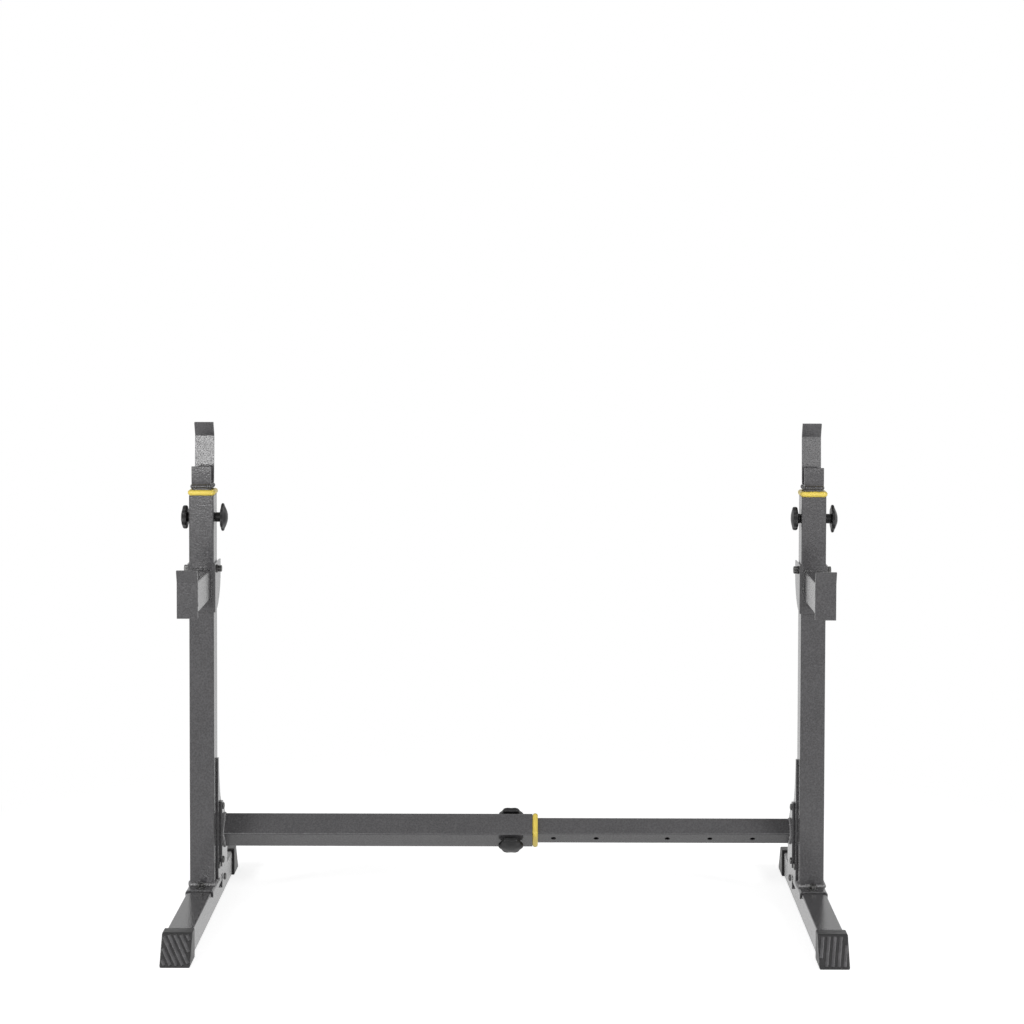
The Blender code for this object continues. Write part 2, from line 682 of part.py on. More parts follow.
def make_gusset(stand):
    """A flat plate bolted to the side of the upright and of the foot, which carries the cross bar."""
    front = UPRIGHT_REAR - GUSSET_LAP
    saddle_rear = UPRIGHT_SETBACK + SADDLE_LENGTH / 2 + GAP
    tip = Vector((front + GUSSET_TIP, GUSSET_TOP))
    shoulder = Vector((UPRIGHT_REAR + GUSSET_SHOULDER_REACH, GUSSET_SHOULDER))
    outline = [(front, SADDLE_TOP + GAP), (front, GUSSET_TOP)]
    across = Vector((shoulder.y - tip.y, tip.x - shoulder.x)).normalized()
    for step in range(CORNER_STEPS + 1):
        part = step / CORNER_STEPS
        outline.append(tuple(tip.lerp(shoulder, part) + across * GUSSET_SAG * 4 * part * (1 - part)))
    outline += [
        (UPRIGHT_REAR + GUSSET_HAUNCH_REACH, GUSSET_HAUNCH),
        (UPRIGHT_REAR + GUSSET_TAIL_REACH, FOOT_TOP),
        (UPRIGHT_REAR + GUSSET_TAIL_REACH, FOOT_TOP - GUSSET_FOOT_LAP),
        (saddle_rear, FOOT_TOP - GUSSET_FOOT_LAP),
        (saddle_rear, SADDLE_TOP + GAP),
    ]
    plate = placed(
        stand.node("gusset_plate"),
        extruded([outline], GUSSET_PLATE),
        PAINT,
        stand.across(GUSSET_NEAR, GUSSET_FAR),
    )
    for y, z in bar_end_bolts():
        nut = facing(stand.at(GUSSET_NEAR, y, z), (stand.side, 0, 0))
        boolean(plate, hexagon(HEX_FLATS, -GUSSET_PLATE / 2, NUT_HEIGHT), nut, "UNION")
        drill(plate, nut, SHANK, -2 * GUSSET_PLATE, 2 * NUT_HEIGHT)
    bolt = made_once("gusset_bolt", lambda: low_bolt(GUSSET_PLATE + GAP + TUBE_WALL))
    for place, (y, z) in (("upright", gusset_front_bolt()), ("foot", gusset_tail_bolt())):
        placement = stand.inner_face(GUSSET_FAR, y, z)
        drill(plate, placement, SHANK, -2 * GUSSET_PLATE, GUSSET_PLATE)
        placed(stand.node(f"gusset_bolt_{place}"), bolt, ZINC, placement)


def bar_end_bolts():
    y = BAR_Y - BAR_END_HALF_DEPTH + BAR_END_BOLT_INSET
    return [(y, BAR_HEIGHT + BAR_END_BOLT_HEIGHT), (y, BAR_HEIGHT - BAR_END_BOLT_HEIGHT)]


def make_bar_end(stand):
    """The plate on the end of the cross bar, bolted to nuts that are welded on the back of the gusset."""
    front = BAR_Y - BAR_END_HALF_DEPTH
    rear = BAR_Y + BAR_END_HALF_DEPTH
    top = BAR_HEIGHT + BAR_END_HALF_HEIGHT
    bottom = BAR_HEIGHT - BAR_END_HALF_HEIGHT
    slope = rear - front - BAR_END_TIP
    outline = [(front, bottom), (front, top), (front + BAR_END_TIP, top), (rear, top - slope), (rear, bottom)]
    mesh = extruded([outline], END_PLATE)
    plate = placed(stand.node("bar_end_plate"), mesh, PAINT, stand.across(BAR_END_NEAR, BAR_END_FAR))
    shank = END_PLATE + GAP + GUSSET_PLATE + NUT_HEIGHT
    bolt = made_once("bar_end_bolt", lambda: low_bolt(shank))
    for place, (y, z) in zip(("upper", "lower"), bar_end_bolts()):
        placement = stand.inner_face(BAR_END_FAR, y, z)
        drill(plate, placement, SHANK, -2 * END_PLATE, END_PLATE)
        placed(stand.node(f"bar_end_bolt_{place}"), bolt, ZINC, placement)


def on_bar(x):
    """A placement on the bar's axis, its z along +X and its square section standing on a corner."""
    return Matrix.Translation((x, BAR_Y, BAR_HEIGHT)) @ Matrix.Rotation(math.radians(45), 4, "X") @ ALONG_X


def bar_hole_places():
    first = MIDDLE + BAR_KNOB_X
    second = first + 2 * BAR_HOLE_PITCH + BAR_HOLE_STEP
    return [start + step * BAR_HOLE_PITCH for start in (first, second) for step in range(3)]


def make_cross_bar(left, right):
    """An outer tube from the left, an inner tube from the right, a plastic guide and two clamp knobs."""
    start = left.x + BAR_END_FAR + GAP
    mouth = MIDDLE + BAR_MOUTH
    outer = square_tube("bar_outer_tube", TUBE, TUBE_WALL, TUBE_CORNER, mouth - start, on_bar(start))
    guide("bar_guide", on_bar(mouth))
    knob_x = MIDDLE + BAR_KNOB_X
    low = Vector((0, -1, -1)).normalized()
    axis = Vector((knob_x, BAR_Y, BAR_HEIGHT))
    knob = made_once("bar_knob", lambda: knob_head(BAR_KNOB, BAR_KNOB_RIM, BAR_KNOB_HUB, KNOB_DOME))
    for place, direction in (("front", low), ("back", -low)):
        placement = facing(axis + direction * TUBE / 2, direction)
        drill(outer, placement, STUD, -2 * TUBE_WALL, TUBE_WALL)
        clamp_knob(f"bar_{place}_knob", placement, knob)
    inner_start = mouth - BAR_OVERLAP
    inner_end = right.x - BAR_END_FAR - GAP
    length = inner_end - inner_start
    inner = square_tube("bar_inner_tube", POST, POST_WALL, POST_CORNER, length, on_bar(inner_start))
    drill_row(inner, [(x, BAR_Y, BAR_HEIGHT) for x in bar_hole_places()], low)
    glide("bar_glide", on_bar(inner_start))


def main():
    left = Stand("left", -1)
    right = Stand("right", 1)
    for stand in (left, right):
        make_foot(stand)
        make_saddle(stand)
        make_upright(stand)
        make_post(stand)
        make_hook(stand)
        make_upright_knobs(stand)
        make_bracket(stand)
        make_arm(stand)
        make_gusset(stand)
        make_bar_end(stand)
    make_cross_bar(left, right)


clear_scene()
PARTS = new_collection("squat_stand")
CUTTERS = new_collection("cutters")
CUTTERS.hide_render = True
main()
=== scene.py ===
"""Finish of a squat stand: hammertone paint, moulded plastic, rubber boots, weld beads and hex bolts.

It loads the packed frame, builds a finished piece for each of its nodes and sets up a plain white studio.
All sizes are in metres, +Z up and +Y away from the lifter.
"""

import json
import math

import bmesh
import bpy
from bpy.props import (
    FloatProperty,
    FloatVectorProperty,
    IntProperty,
    PointerProperty,
)
from mathutils import Matrix, Vector

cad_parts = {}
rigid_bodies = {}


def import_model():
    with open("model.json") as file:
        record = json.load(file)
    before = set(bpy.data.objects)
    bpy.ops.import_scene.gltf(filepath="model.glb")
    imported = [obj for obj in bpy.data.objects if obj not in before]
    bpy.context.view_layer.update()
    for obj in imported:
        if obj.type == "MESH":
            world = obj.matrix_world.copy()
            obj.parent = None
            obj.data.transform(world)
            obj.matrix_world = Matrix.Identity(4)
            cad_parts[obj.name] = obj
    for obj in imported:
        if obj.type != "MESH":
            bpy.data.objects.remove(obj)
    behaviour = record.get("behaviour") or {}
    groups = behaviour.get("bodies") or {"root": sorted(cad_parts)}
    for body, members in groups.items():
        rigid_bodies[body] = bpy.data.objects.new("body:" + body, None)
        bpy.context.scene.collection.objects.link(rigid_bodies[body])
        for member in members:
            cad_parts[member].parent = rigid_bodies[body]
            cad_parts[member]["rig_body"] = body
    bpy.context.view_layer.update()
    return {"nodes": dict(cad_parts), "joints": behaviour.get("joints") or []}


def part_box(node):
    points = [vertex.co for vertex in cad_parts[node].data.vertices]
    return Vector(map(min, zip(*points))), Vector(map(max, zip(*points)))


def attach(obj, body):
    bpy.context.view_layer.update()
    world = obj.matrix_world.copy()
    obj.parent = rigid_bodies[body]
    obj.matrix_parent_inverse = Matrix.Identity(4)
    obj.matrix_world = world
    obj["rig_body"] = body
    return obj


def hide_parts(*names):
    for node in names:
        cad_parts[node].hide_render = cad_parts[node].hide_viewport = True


bl_info = {
    "name": "Squat Stand Finish",
    "version": (1, 0, 0),
    "blender": (4, 5, 0),
    "location": "3D View > Sidebar > Squat Stand",
    "description": "Builds the painted, moulded and welded finish of a squat stand on its fixed frame",
    "category": "Object",
}

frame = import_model()

SIDES = {"left": -1, "right": 1}
TINY = 2e-6
GAP = 0.0003  # left between pieces that touch
OUTER_TUBE = 0.050
INNER_TUBE = 0.038

FLAT_ANGLE = 0.6  # in degrees: facets nearer than this are one flat
SHARP_ANGLE = 38.0  # in degrees: edges over this stay sharp or are softened
BOOT_EDGE = 0.0006
GLIDE_EDGE = 0.0008
STUD_EDGE = 0.0005

GUIDE_OPENING = 0.0195  # half of the square opening
GUIDE_SLEEVE = 0.0227  # half of the sleeve's width
GUIDE_LIP = 0.028  # half of the bead's width
GUIDE_LIP_HEIGHT = 0.011
GUIDE_DEPTH = 0.030
GUIDE_CORNER = 0.001
GUIDE_BEND = 0.005  # corner radius at the foot of the bead
GUIDE_CHAMFER = 0.0008

BOOT_SLOPE = 0.034  # how far the bottom of a boot's end face runs out beyond its top
RIB_MARGIN = 0.0045  # from the ribs' ends to the top and bottom of that face
SIDE_MARGIN = 0.001  # from the outermost rib to the side of the face
SHORTEST_RIB = 0.08  # as a share of the face; shorter ones are left out
RIB_EDGE = 0.0005

KNOB_LIFT = 0.0004  # from a knob's seat to its underside
STUD_HOLE = 0.0052
HUB_RADIUS = 0.0098
HUB_EDGE = 0.0008
HUB_FLARE = 0.0012  # how far the hub widens to meet the grip
HUB_FLARE_HEIGHT = 0.0015
KNOB_ROLL = 0.004  # the largest rounding of a grip's rim
KNOBS = {  # radius of the grip, heights of its hub, rim and crown
    "small": (0.024, 0.0055, 0.0105, 0.003),
    "large": (0.0285, 0.0125, 0.006, 0.007),
    "bar": (0.026, 0.005, 0.0105, 0.003),
}

HEX_HEAD = 0.008
HEAD_EDGE = 0.0003
LOW_HEAD = 0.0035
LOW_HEAD_RADIUS = 0.007
LOW_HEAD_RIM = 0.0008
SHANK_RUN = 0.0005  # how far a shank runs up into a low head
THREAD_PITCH = 0.00125
THREAD_ROOT = 0.88  # of the shank's radius
SHANK_TIP = 0.8

WELD_CORNER = 0.004
ARM_END_INSET = 0.0012  # how far in from the tube's wall a bead's middle lies
HOOK_INSET = 0.001

FLOOR_GAP = 0.0005
FLOOR_REACH = 14.0
SHADOW_NEAR = 0.9  # the floor keeps its shadow up to here
SHADOW_FAR = 1.5  # and is pure white from here
SKY_FADE = 0.6  # how much of the ambient light is gone overhead
LAMPS = {  # place, aim, size and power
    "left_lamp": ((-2.35, -2.0, 1.5), (-0.5, 0, 0.5), (1.2, 1.2), 46),
    "right_lamp": ((2.35, -2.0, 1.5), (0.5, 0, 0.5), (1.2, 1.2), 50),
    "strip_lamp": ((0, -5.2, 2.6), (0, 0, 0.45), (5.0, 0.6), 30),
    "left_softbox": ((-1.55, -6.2, 1.08), (-0.6, 0, 0.93), (1.0, 0.8), 46),
    "right_softbox": ((1.5, -6.2, 1.08), (0.6, 0, 0.93), (1.0, 0.8), 12),
}


# Node trees


class Field:
    """A socket's value, so that the maths of a material or a geometry tree reads as a Python expression."""

    def __init__(self, graph, socket):
        self.graph = graph
        self.socket = socket

    def _math(self, operation, *operands):
        return self.graph.node("ShaderNodeMath", {"operation": operation}, dict(enumerate(operands)))

    def __add__(self, other):
        return self._math("ADD", self, other)

    __radd__ = __add__

    def __sub__(self, other):
        return self._math("SUBTRACT", self, other)

    def __rsub__(self, other):
        return self._math("SUBTRACT", other, self)

    def __mul__(self, other):
        return self._math("MULTIPLY", self, other)

    __rmul__ = __mul__

    def between(self, low, high):
        """0 at the low value and 1 at the high one, eased and held beyond them."""
        settings = {"interpolation_type": "SMOOTHSTEP"}
        return self.graph.node("ShaderNodeMapRange", settings, {0: self, 1: low, 2: high})


class Graph:
    """Builds the nodes of one tree."""

    def __init__(self, tree):
        self.tree = tree

    def node(self, kind, settings=None, values=None, output=0):
        """Adds a node with its settings, then the values or links of its sockets, and gives one output."""
        made = self.tree.nodes.new(kind)
        for name, value in (settings or {}).items():
            if name == "stops":
                self._set_stops(made.color_ramp, value)
            else:
                setattr(made, name, value)
        for name, value in (values or {}).items():
            if isinstance(value, Field):
                self.tree.links.new(value.socket, made.inputs[name])
            else:
                made.inputs[name].default_value = value
        return Field(self, made.outputs[output])

    @staticmethod
    def _set_stops(ramp, stops):
        while len(ramp.elements) < len(stops):
            ramp.elements.new(1.0)
        for element, (place, colour) in zip(ramp.elements, stops):
            element.position = place
            element.color = colour

    def mix(self, amount, first, second):
        """A colour between two."""
        return self.node("ShaderNodeMix", {"data_type": "RGBA"}, {0: amount, 6: first, 7: second}, output=2)

    def noise(self, place, size, detail=2.0, seed=0.0):
        """Soft noise from 0 to 1 whose lumps are about the given size."""
        settings = {"noise_dimensions": "4D"}
        values = {"Vector": place, "W": seed, "Scale": 1 / size, "Detail": detail}
        return self.node("ShaderNodeTexNoise", settings, values)

    def bump(self, height, strength, depth):
        """The normal of a fine relief."""
        return self.node("ShaderNodeBump", None, {"Strength": strength, "Distance": depth, "Height": height})

    def coat(self, values):
        """Ends the tree in one surface with the given sockets."""
        self.finish(self.node("ShaderNodeBsdfPrincipled", None, values))

    def finish(self, surface, output="ShaderNodeOutputMaterial"):
        """Ends the tree in its output."""
        end = self.tree.nodes.new(output)
        self.tree.links.new(surface.socket, end.inputs["Surface"])


def new_material(name):
    material = bpy.data.materials.new(name)
    material.use_nodes = True
    material.node_tree.nodes.clear()
    return material, Graph(material.node_tree)


def object_place(graph):
    return graph.node("ShaderNodeTexCoord", output="Object")


def rgba(colour, factor=1.0):
    return (*(channel * factor for channel in colour), 1.0)


def hammertone_paint(look, name, colour):
    """Glossy grey enamel that has drawn up into small round dimples as it dried."""
    material, graph = new_material(name)
    place = object_place(graph)
    wander = graph.noise(place, look.cell_size * 1.5)
    shift = graph.node("ShaderNodeCombineXYZ", None, {0: wander, 1: wander, 2: wander})
    moved = graph.node(
        "ShaderNodeVectorMath",
        {"operation": "MULTIPLY_ADD"},
        {0: shift, 1: (look.cell_size,) * 3, 2: place},
    )
    cells = graph.node(
        "ShaderNodeTexVoronoi",
        {"feature": "SMOOTH_F1"},
        {"Vector": moved, "Scale": 1 / look.cell_size, "Smoothness": 0.55},
    )
    grain = graph.noise(place, look.cell_size / 3)
    cloud = graph.noise(place, 0.06, seed=3.0)
    tone = (cells - 0.45) * 0.9 + (grain - 0.5) * 1.1 + (cloud - 0.5) * 0.5 + 0.5
    shade = graph.mix(tone.between(0.0, 1.0), rgba(colour, 0.72), rgba(colour, 1.28))
    rough = cells * 0.08 + grain * 0.06 + (look.roughness - 0.07)
    relief = cells + grain * 0.25
    bump = graph.bump(relief, 0.36, 0.0004)
    graph.coat({"Base Color": shade, "Roughness": rough, "Normal": bump, "IOR": 1.5})
    return material


def moulded_plastic(name, colour, roughness, grain_size, depth, sheen=0.5):
    """Injection-moulded plastic: a fine spark-eroded grain and faint flow marks."""
    material, graph = new_material(name)
    place = object_place(graph)
    grain = graph.noise(place, grain_size, detail=3.0)
    flow = graph.noise(place, 0.02, detail=1.0, seed=5.0)
    tone = (flow - 0.5) * 0.8 + (grain - 0.5) * 0.5 + 0.5
    shade = graph.mix(tone.between(0.0, 1.0), rgba(colour, 0.84), rgba(colour, 1.14))
    rough = (flow - 0.5) * 0.16 + (grain - 0.5) * 0.12 + roughness
    bump = graph.bump(grain, 0.35, depth)
    graph.coat({"Base Color": shade, "Roughness": rough, "Normal": bump, "Specular IOR Level": sheen})
    return material


def dusty_rubber(look, name, colour):
    """Dark moulded rubber with a matt grain and a little pale bloom."""
    material, graph = new_material(name)
    place = object_place(graph)
    grain = graph.noise(place, 0.0007, detail=3.0)
    bloom = graph.noise(place, 0.012, detail=4.0, seed=9.0).between(0.42, 0.75)
    tone = bloom * 0.7 + (grain - 0.5) * 0.6 + 0.15
    shade = graph.mix(tone.between(0.0, 1.0), rgba(colour, 0.8), rgba(colour, 1.4))
    rough = bloom * 0.12 + (grain - 0.5) * 0.1 + look.roughness
    bump = graph.bump(grain, 0.4, 0.0002)
    graph.coat({"Base Color": shade, "Roughness": rough, "Normal": bump, "Specular IOR Level": 0.3})
    return material


def dull_zinc(look):
    """Dull zinc on steel, with tool marks and patches where it is thinner."""
    material, graph = new_material("dull_zinc")
    place = object_place(graph)
    marks = graph.noise(place, 0.0006, detail=3.0)
    patch = graph.noise(place, 0.005, detail=3.0, seed=2.0).between(0.35, 0.7)
    colour = graph.mix(patch, rgba(look.colour, 0.7), rgba(look.colour, 1.5))
    rough = patch * 0.14 + (marks - 0.5) * 0.16 + look.roughness
    bump = graph.bump(marks, 0.3, 0.0001)
    graph.coat({"Base Color": colour, "Metallic": 1.0, "Roughness": rough, "Normal": bump})
    return material


# Geometry trees


def geometry_tree(name, inputs):
    """A tree with a geometry going in and out and named inputs, its graph and the fields of its inputs."""
    tree = bpy.data.node_groups.new(name, "GeometryNodeTree")
    tree.interface.new_socket("Geometry", in_out="INPUT", socket_type="NodeSocketGeometry")
    for label, kind, default in inputs:
        socket = tree.interface.new_socket(label, in_out="INPUT", socket_type=f"NodeSocket{kind}")
        if default is not None:
            socket.default_value = default
    tree.interface.new_socket("Geometry", in_out="OUTPUT", socket_type="NodeSocketGeometry")
    graph = Graph(tree)
    start = tree.nodes.new("NodeGroupInput")
    fields = {socket.name: Field(graph, socket) for socket in start.outputs if socket.name}
    return tree, graph, fields


def end_tree(graph, geometry, material):
    """Every tree ends in real geometry with its material on."""
    real = graph.node("GeometryNodeRealizeInstances", None, {0: geometry})
    painted = graph.node("GeometryNodeSetMaterial", None, {"Geometry": real, "Material": material})
    end = graph.tree.nodes.new("NodeGroupOutput")
    graph.tree.links.new(painted.socket, end.inputs[0])


def baked(mesh, tree, values):
    """The mesh that a geometry tree makes of a mesh, with its inputs set."""
    holder = bpy.data.objects.new("holder", mesh)
    bpy.context.scene.collection.objects.link(holder)
    modifier = holder.modifiers.new(tree.name, "NODES")
    modifier.node_group = tree
    for item in tree.interface.items_tree:
        if item.in_out == "INPUT" and item.name in values:
            modifier[item.identifier] = values[item.name]
    return evaluated_mesh(holder)


def evaluated_mesh(holder):
    """The holder's mesh with its modifiers applied; the holder goes."""
    graph = bpy.context.evaluated_depsgraph_get()
    made = bpy.data.meshes.new_from_object(holder.evaluated_get(graph))
    bpy.data.objects.remove(holder)
    return made


def weld_bead_tree():
    """A painted weld: a bead along each path, with overlapping ripples of uneven size."""
    tree, graph, given = geometry_tree(
        "weld_bead",
        [
            ("Bead Radius", "Float", 0.003),
            ("Ripple Pitch", "Float", 0.0024),
            ("Unevenness", "Float", 0.25),
            ("Seed", "Int", 1),
            ("Material", "Material", None),
        ],
    )
    path = graph.node("GeometryNodeMeshToCurve", None, {0: given["Geometry"]})
    dots = graph.node(
        "GeometryNodeResampleCurve", {"mode": "LENGTH"}, {"Curve": path, "Length": given["Ripple Pitch"]}
    )
    tangent = graph.node("GeometryNodeInputTangent")
    turned_along = graph.node("FunctionNodeAlignRotationToVector", {"axis": "Z"}, {"Vector": tangent})
    low = 1 - given["Unevenness"]
    high = 1 + given["Unevenness"]
    size = graph.node(
        "FunctionNodeRandomValue", {"data_type": "FLOAT"}, {2: low, 3: high, "Seed": given["Seed"]}, output=1
    )
    ball = graph.node("GeometryNodeMeshIcoSphere", None, {"Radius": given["Bead Radius"], "Subdivisions": 2})
    scale = graph.node("ShaderNodeCombineXYZ", None, {0: size, 1: size, 2: size * 0.55})
    ripples = graph.node(
        "GeometryNodeInstanceOnPoints",
        None,
        {"Points": dots, "Instance": ball, "Rotation": turned_along, "Scale": scale},
    )
    round_section = graph.node(
        "GeometryNodeCurvePrimitiveCircle", None, {"Resolution": 10, "Radius": given["Bead Radius"] * 0.8}
    )
    core = graph.node(
        "GeometryNodeCurveToMesh", None, {"Curve": dots, "Profile Curve": round_section, "Fill Caps": True}
    )
    both = graph.tree.nodes.new("GeometryNodeJoinGeometry")
    for part in (core, ripples):
        graph.tree.links.new(part.socket, both.inputs[0])
    smooth = graph.node("GeometryNodeSetShadeSmooth", None, {0: Field(graph, both.outputs[0])})
    end_tree(graph, smooth, given["Material"])
    return tree


def bolt_set_tree():
    """Copies of one bolt on points, each along the point's axis attribute and turned by chance about it."""
    tree, graph, given = geometry_tree(
        "bolt_set", [("Bolt", "Object", None), ("Seed", "Int", 4), ("Material", "Material", None)]
    )
    axis = graph.node("GeometryNodeInputNamedAttribute", {"data_type": "FLOAT_VECTOR"}, {"Name": "axis"})
    stood = graph.node("FunctionNodeAlignRotationToVector", {"axis": "Z"}, {"Vector": axis})
    whole_turn = {2: 0.0, 3: math.tau, "Seed": given["Seed"]}
    spin = graph.node("FunctionNodeRandomValue", {"data_type": "FLOAT"}, whole_turn, output=1)
    about = graph.node("FunctionNodeAxisAngleToRotation", None, {"Axis": (0.0, 0.0, 1.0), "Angle": spin})
    rotation = graph.node(
        "FunctionNodeRotateRotation", {"rotation_space": "LOCAL"}, {"Rotation": stood, "Rotate By": about}
    )
    source = {"Object": given["Bolt"], "As Instance": True}
    bolt = graph.node("GeometryNodeObjectInfo", None, source, "Geometry")
    bolts = graph.node(
        "GeometryNodeInstanceOnPoints",
        None,
        {"Points": given["Geometry"], "Instance": bolt, "Rotation": rotation},
    )
    end_tree(graph, bolts, given["Material"])
    return tree


def rib_tree():
    """Square-edged ribs along each path."""
    tree, graph, given = geometry_tree(
        "boot_ribs",
        [
            ("Rib Width", "Float", 0.008),
            ("Rib Height", "Float", 0.0015),
            ("Edge", "Float", RIB_EDGE),
            ("Material", "Material", None),
        ],
    )
    path = graph.node("GeometryNodeMeshToCurve", None, {0: given["Geometry"]})
    outward = graph.node("GeometryNodeInputNamedAttribute", {"data_type": "FLOAT_VECTOR"}, {"Name": "axis"})
    along = graph.node("GeometryNodeSetCurveNormal", {"mode": "FREE"}, {"Curve": path, "Normal": outward})
    section = graph.node(
        "GeometryNodeCurvePrimitiveQuadrilateral",
        {"mode": "RECTANGLE"},
        {"Width": given["Rib Height"] * 2, "Height": given["Rib Width"]},
    )
    eased = graph.node(
        "GeometryNodeFilletCurve", {"mode": "POLY"}, {"Curve": section, "Count": 2, "Radius": given["Edge"]}
    )
    ribs = graph.node(
        "GeometryNodeCurveToMesh", None, {"Curve": along, "Profile Curve": eased, "Fill Caps": True}
    )
    end_tree(graph, ribs, given["Material"])
    return tree


# Meshes


def turned(rings, steps):
    """A closed solid of rings about the z axis, lowest first.

    Each ring gives its radius and height at an angle.
    """
    shape = bmesh.new()
    loops = []
    for ring in rings:
        loop = []
        for step in range(steps):
            angle = math.tau * step / steps
            radius, height = ring(angle)
            loop.append(shape.verts.new((radius * math.cos(angle), radius * math.sin(angle), height)))
        loops.append(loop)
    for lower, upper in zip(loops, loops[1:]):
        for step in range(steps):
            following = (step + 1) % steps
            shape.faces.new((lower[step], lower[following], upper[following], upper[step]))
    shape.faces.new(loops[0][::-1])
    shape.faces.new(loops[-1])
    return made_mesh(shape)


def rounded_loop(half_across, half_up, corner, steps):
    """Points round a rectangle with rounded corners, each as how far across and how far up."""
    points = []
    for quarter, (x, y) in enumerate(((1, 1), (-1, 1), (-1, -1), (1, -1))):
        for step in range(steps + 1):
            angle = math.pi / 2 * (quarter + step / steps)
            across = x * (half_across - corner) + corner * math.cos(angle)
            points.append((across, y * (half_up - corner) + corner * math.sin(angle)))
    return points


def square_loop(half, corner, height):
    """Points round a square with rounded corners, at a height."""
    return [(x, y, height) for x, y in rounded_loop(half, half, corner, 5)]


def lofted(loops):
    """A ring-shaped solid through loops of as many points each, the last joined to the first."""
    shape = bmesh.new()
    rows = [[shape.verts.new(point) for point in loop] for loop in loops]
    for row, following in zip(rows, rows[1:] + rows[:1]):
        for index, vert in enumerate(row):
            beside = (index + 1) % len(row)
            shape.faces.new((vert, row[beside], following[beside], following[index]))
    bmesh.ops.recalc_face_normals(shape, faces=shape.faces)
    return made_mesh(shape, 50.0)


def round_ring(radius, height):
    return lambda angle: (radius, height)


def made_mesh(shape, sharp=SHARP_ANGLE):
    """The mesh of a bmesh, smooth up to an angle in degrees."""
    mesh = bpy.data.meshes.new("made")
    shape.to_mesh(mesh)
    shape.free()
    mesh.shade_smooth()
    mesh.set_sharp_from_angle(angle=math.radians(sharp))
    return mesh


def joined(meshes):
    """One mesh of several."""
    shape = bmesh.new()
    for mesh in meshes:
        shape.from_mesh(mesh)
        bpy.data.meshes.remove(mesh)
    return made_mesh(shape)


def path_mesh(paths, axes=None):
    """Lines through lists of points, closed where the first comes again, with a vector on each point."""
    points = []
    edges = []
    vectors = []
    for index, path in enumerate(paths):
        closed = (Vector(path[0]) - Vector(path[-1])).length < TINY
        own = path[:-1] if closed and len(path) > 2 else path
        first = len(points)
        points += [tuple(point) for point in own]
        edges += [(first + step, first + step + 1) for step in range(len(own) - 1)]
        if closed and len(path) > 2:
            edges.append((first + len(own) - 1, first))
        vectors += [axes[index] if axes else (0, 0, 1)] * len(own)
    mesh = bpy.data.meshes.new("paths")
    mesh.from_pydata(points, edges, [])
    attribute = mesh.attributes.new("axis", "FLOAT_VECTOR", "POINT")
    for item, vector in zip(attribute.data, vectors):
        item.vector = vector
    return mesh


def fair_copy(node, softness):
    """A CAD node's shape with its flats made whole and its edges softened."""
    mesh = frame["nodes"][node].data.copy()
    for name in ("custom_normal", "sharp_face", "sharp_edge"):
        if name in mesh.attributes:
            mesh.attributes.remove(mesh.attributes[name])
    shape = bmesh.new()
    shape.from_mesh(mesh)
    bmesh.ops.remove_doubles(shape, verts=shape.verts, dist=TINY)
    flat = math.radians(FLAT_ANGLE)
    bmesh.ops.dissolve_limit(shape, angle_limit=flat, verts=shape.verts, edges=shape.edges)
    for face in shape.faces:
        face.smooth = True
    shape.to_mesh(mesh)
    shape.free()
    holder = bpy.data.objects.new("holder", mesh)
    bpy.context.scene.collection.objects.link(holder)
    bevel = holder.modifiers.new("softened", "BEVEL")
    bevel.width = softness
    bevel.segments = 2
    bevel.limit_method = "ANGLE"
    bevel.angle_limit = math.radians(SHARP_ANGLE)
    weighted = holder.modifiers.new("flat_flats", "WEIGHTED_NORMAL")
    weighted.weight = 60
    return evaluated_mesh(holder)


def show(name, mesh, material, body, nodes=()):
    """A finished piece of the object, on its body and in place of its CAD nodes."""
    obj = bpy.data.objects.new(name, mesh)
    bpy.context.scene.collection.objects.link(obj)
    mesh.materials.clear()
    mesh.materials.append(material)
    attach(obj, body)
    if nodes:
        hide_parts(*nodes)


def body_of(node):
    return frame["nodes"][node]["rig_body"]


def finished(node, softness, material):
    """A CAD node's fair copy in its place."""
    show(f"{node}_finished", fair_copy(node, softness), material, body_of(node), [node])


def named(*endings):
    """The CAD nodes whose names end so, in order."""
    return [node for node in sorted(frame["nodes"]) if node.endswith(endings)]


# Settings


class PaintLook(bpy.types.PropertyGroup):
    """The grey hammertone enamel."""

    colour: FloatVectorProperty(
        name="Colour", description="Mean colour of the paint", subtype="COLOR", default=(0.056, 0.0545, 0.057)
    )
    cell_size: FloatProperty(
        name="Dimple Size", description="Width of one hammertone dimple", unit="LENGTH", default=0.0034
    )
    roughness: FloatProperty(
        name="Roughness", description="Mean roughness of the paint", subtype="FACTOR", default=0.19
    )
    edge: FloatProperty(
        name="Edge Softness", description="Rounding of edges under the paint", unit="LENGTH", default=0.0006
    )


class PlasticLook(bpy.types.PropertyGroup):
    """The moulded guides, knobs and glides."""

    guide_colour: FloatVectorProperty(
        name="Guide Colour",
        description="Colour of the tube guides",
        subtype="COLOR",
        default=(0.66, 0.51, 0.085),
    )
    knob_colour: FloatVectorProperty(
        name="Knob Colour",
        description="Colour of the clamp knobs",
        subtype="COLOR",
        default=(0.007, 0.007, 0.0075),
    )
    roughness: FloatProperty(
        name="Roughness", description="Roughness of the moulded faces", subtype="FACTOR", default=0.40
    )
    grain: FloatProperty(name="Grain", description="Size of the mould's grain", unit="LENGTH", default=0.0006)


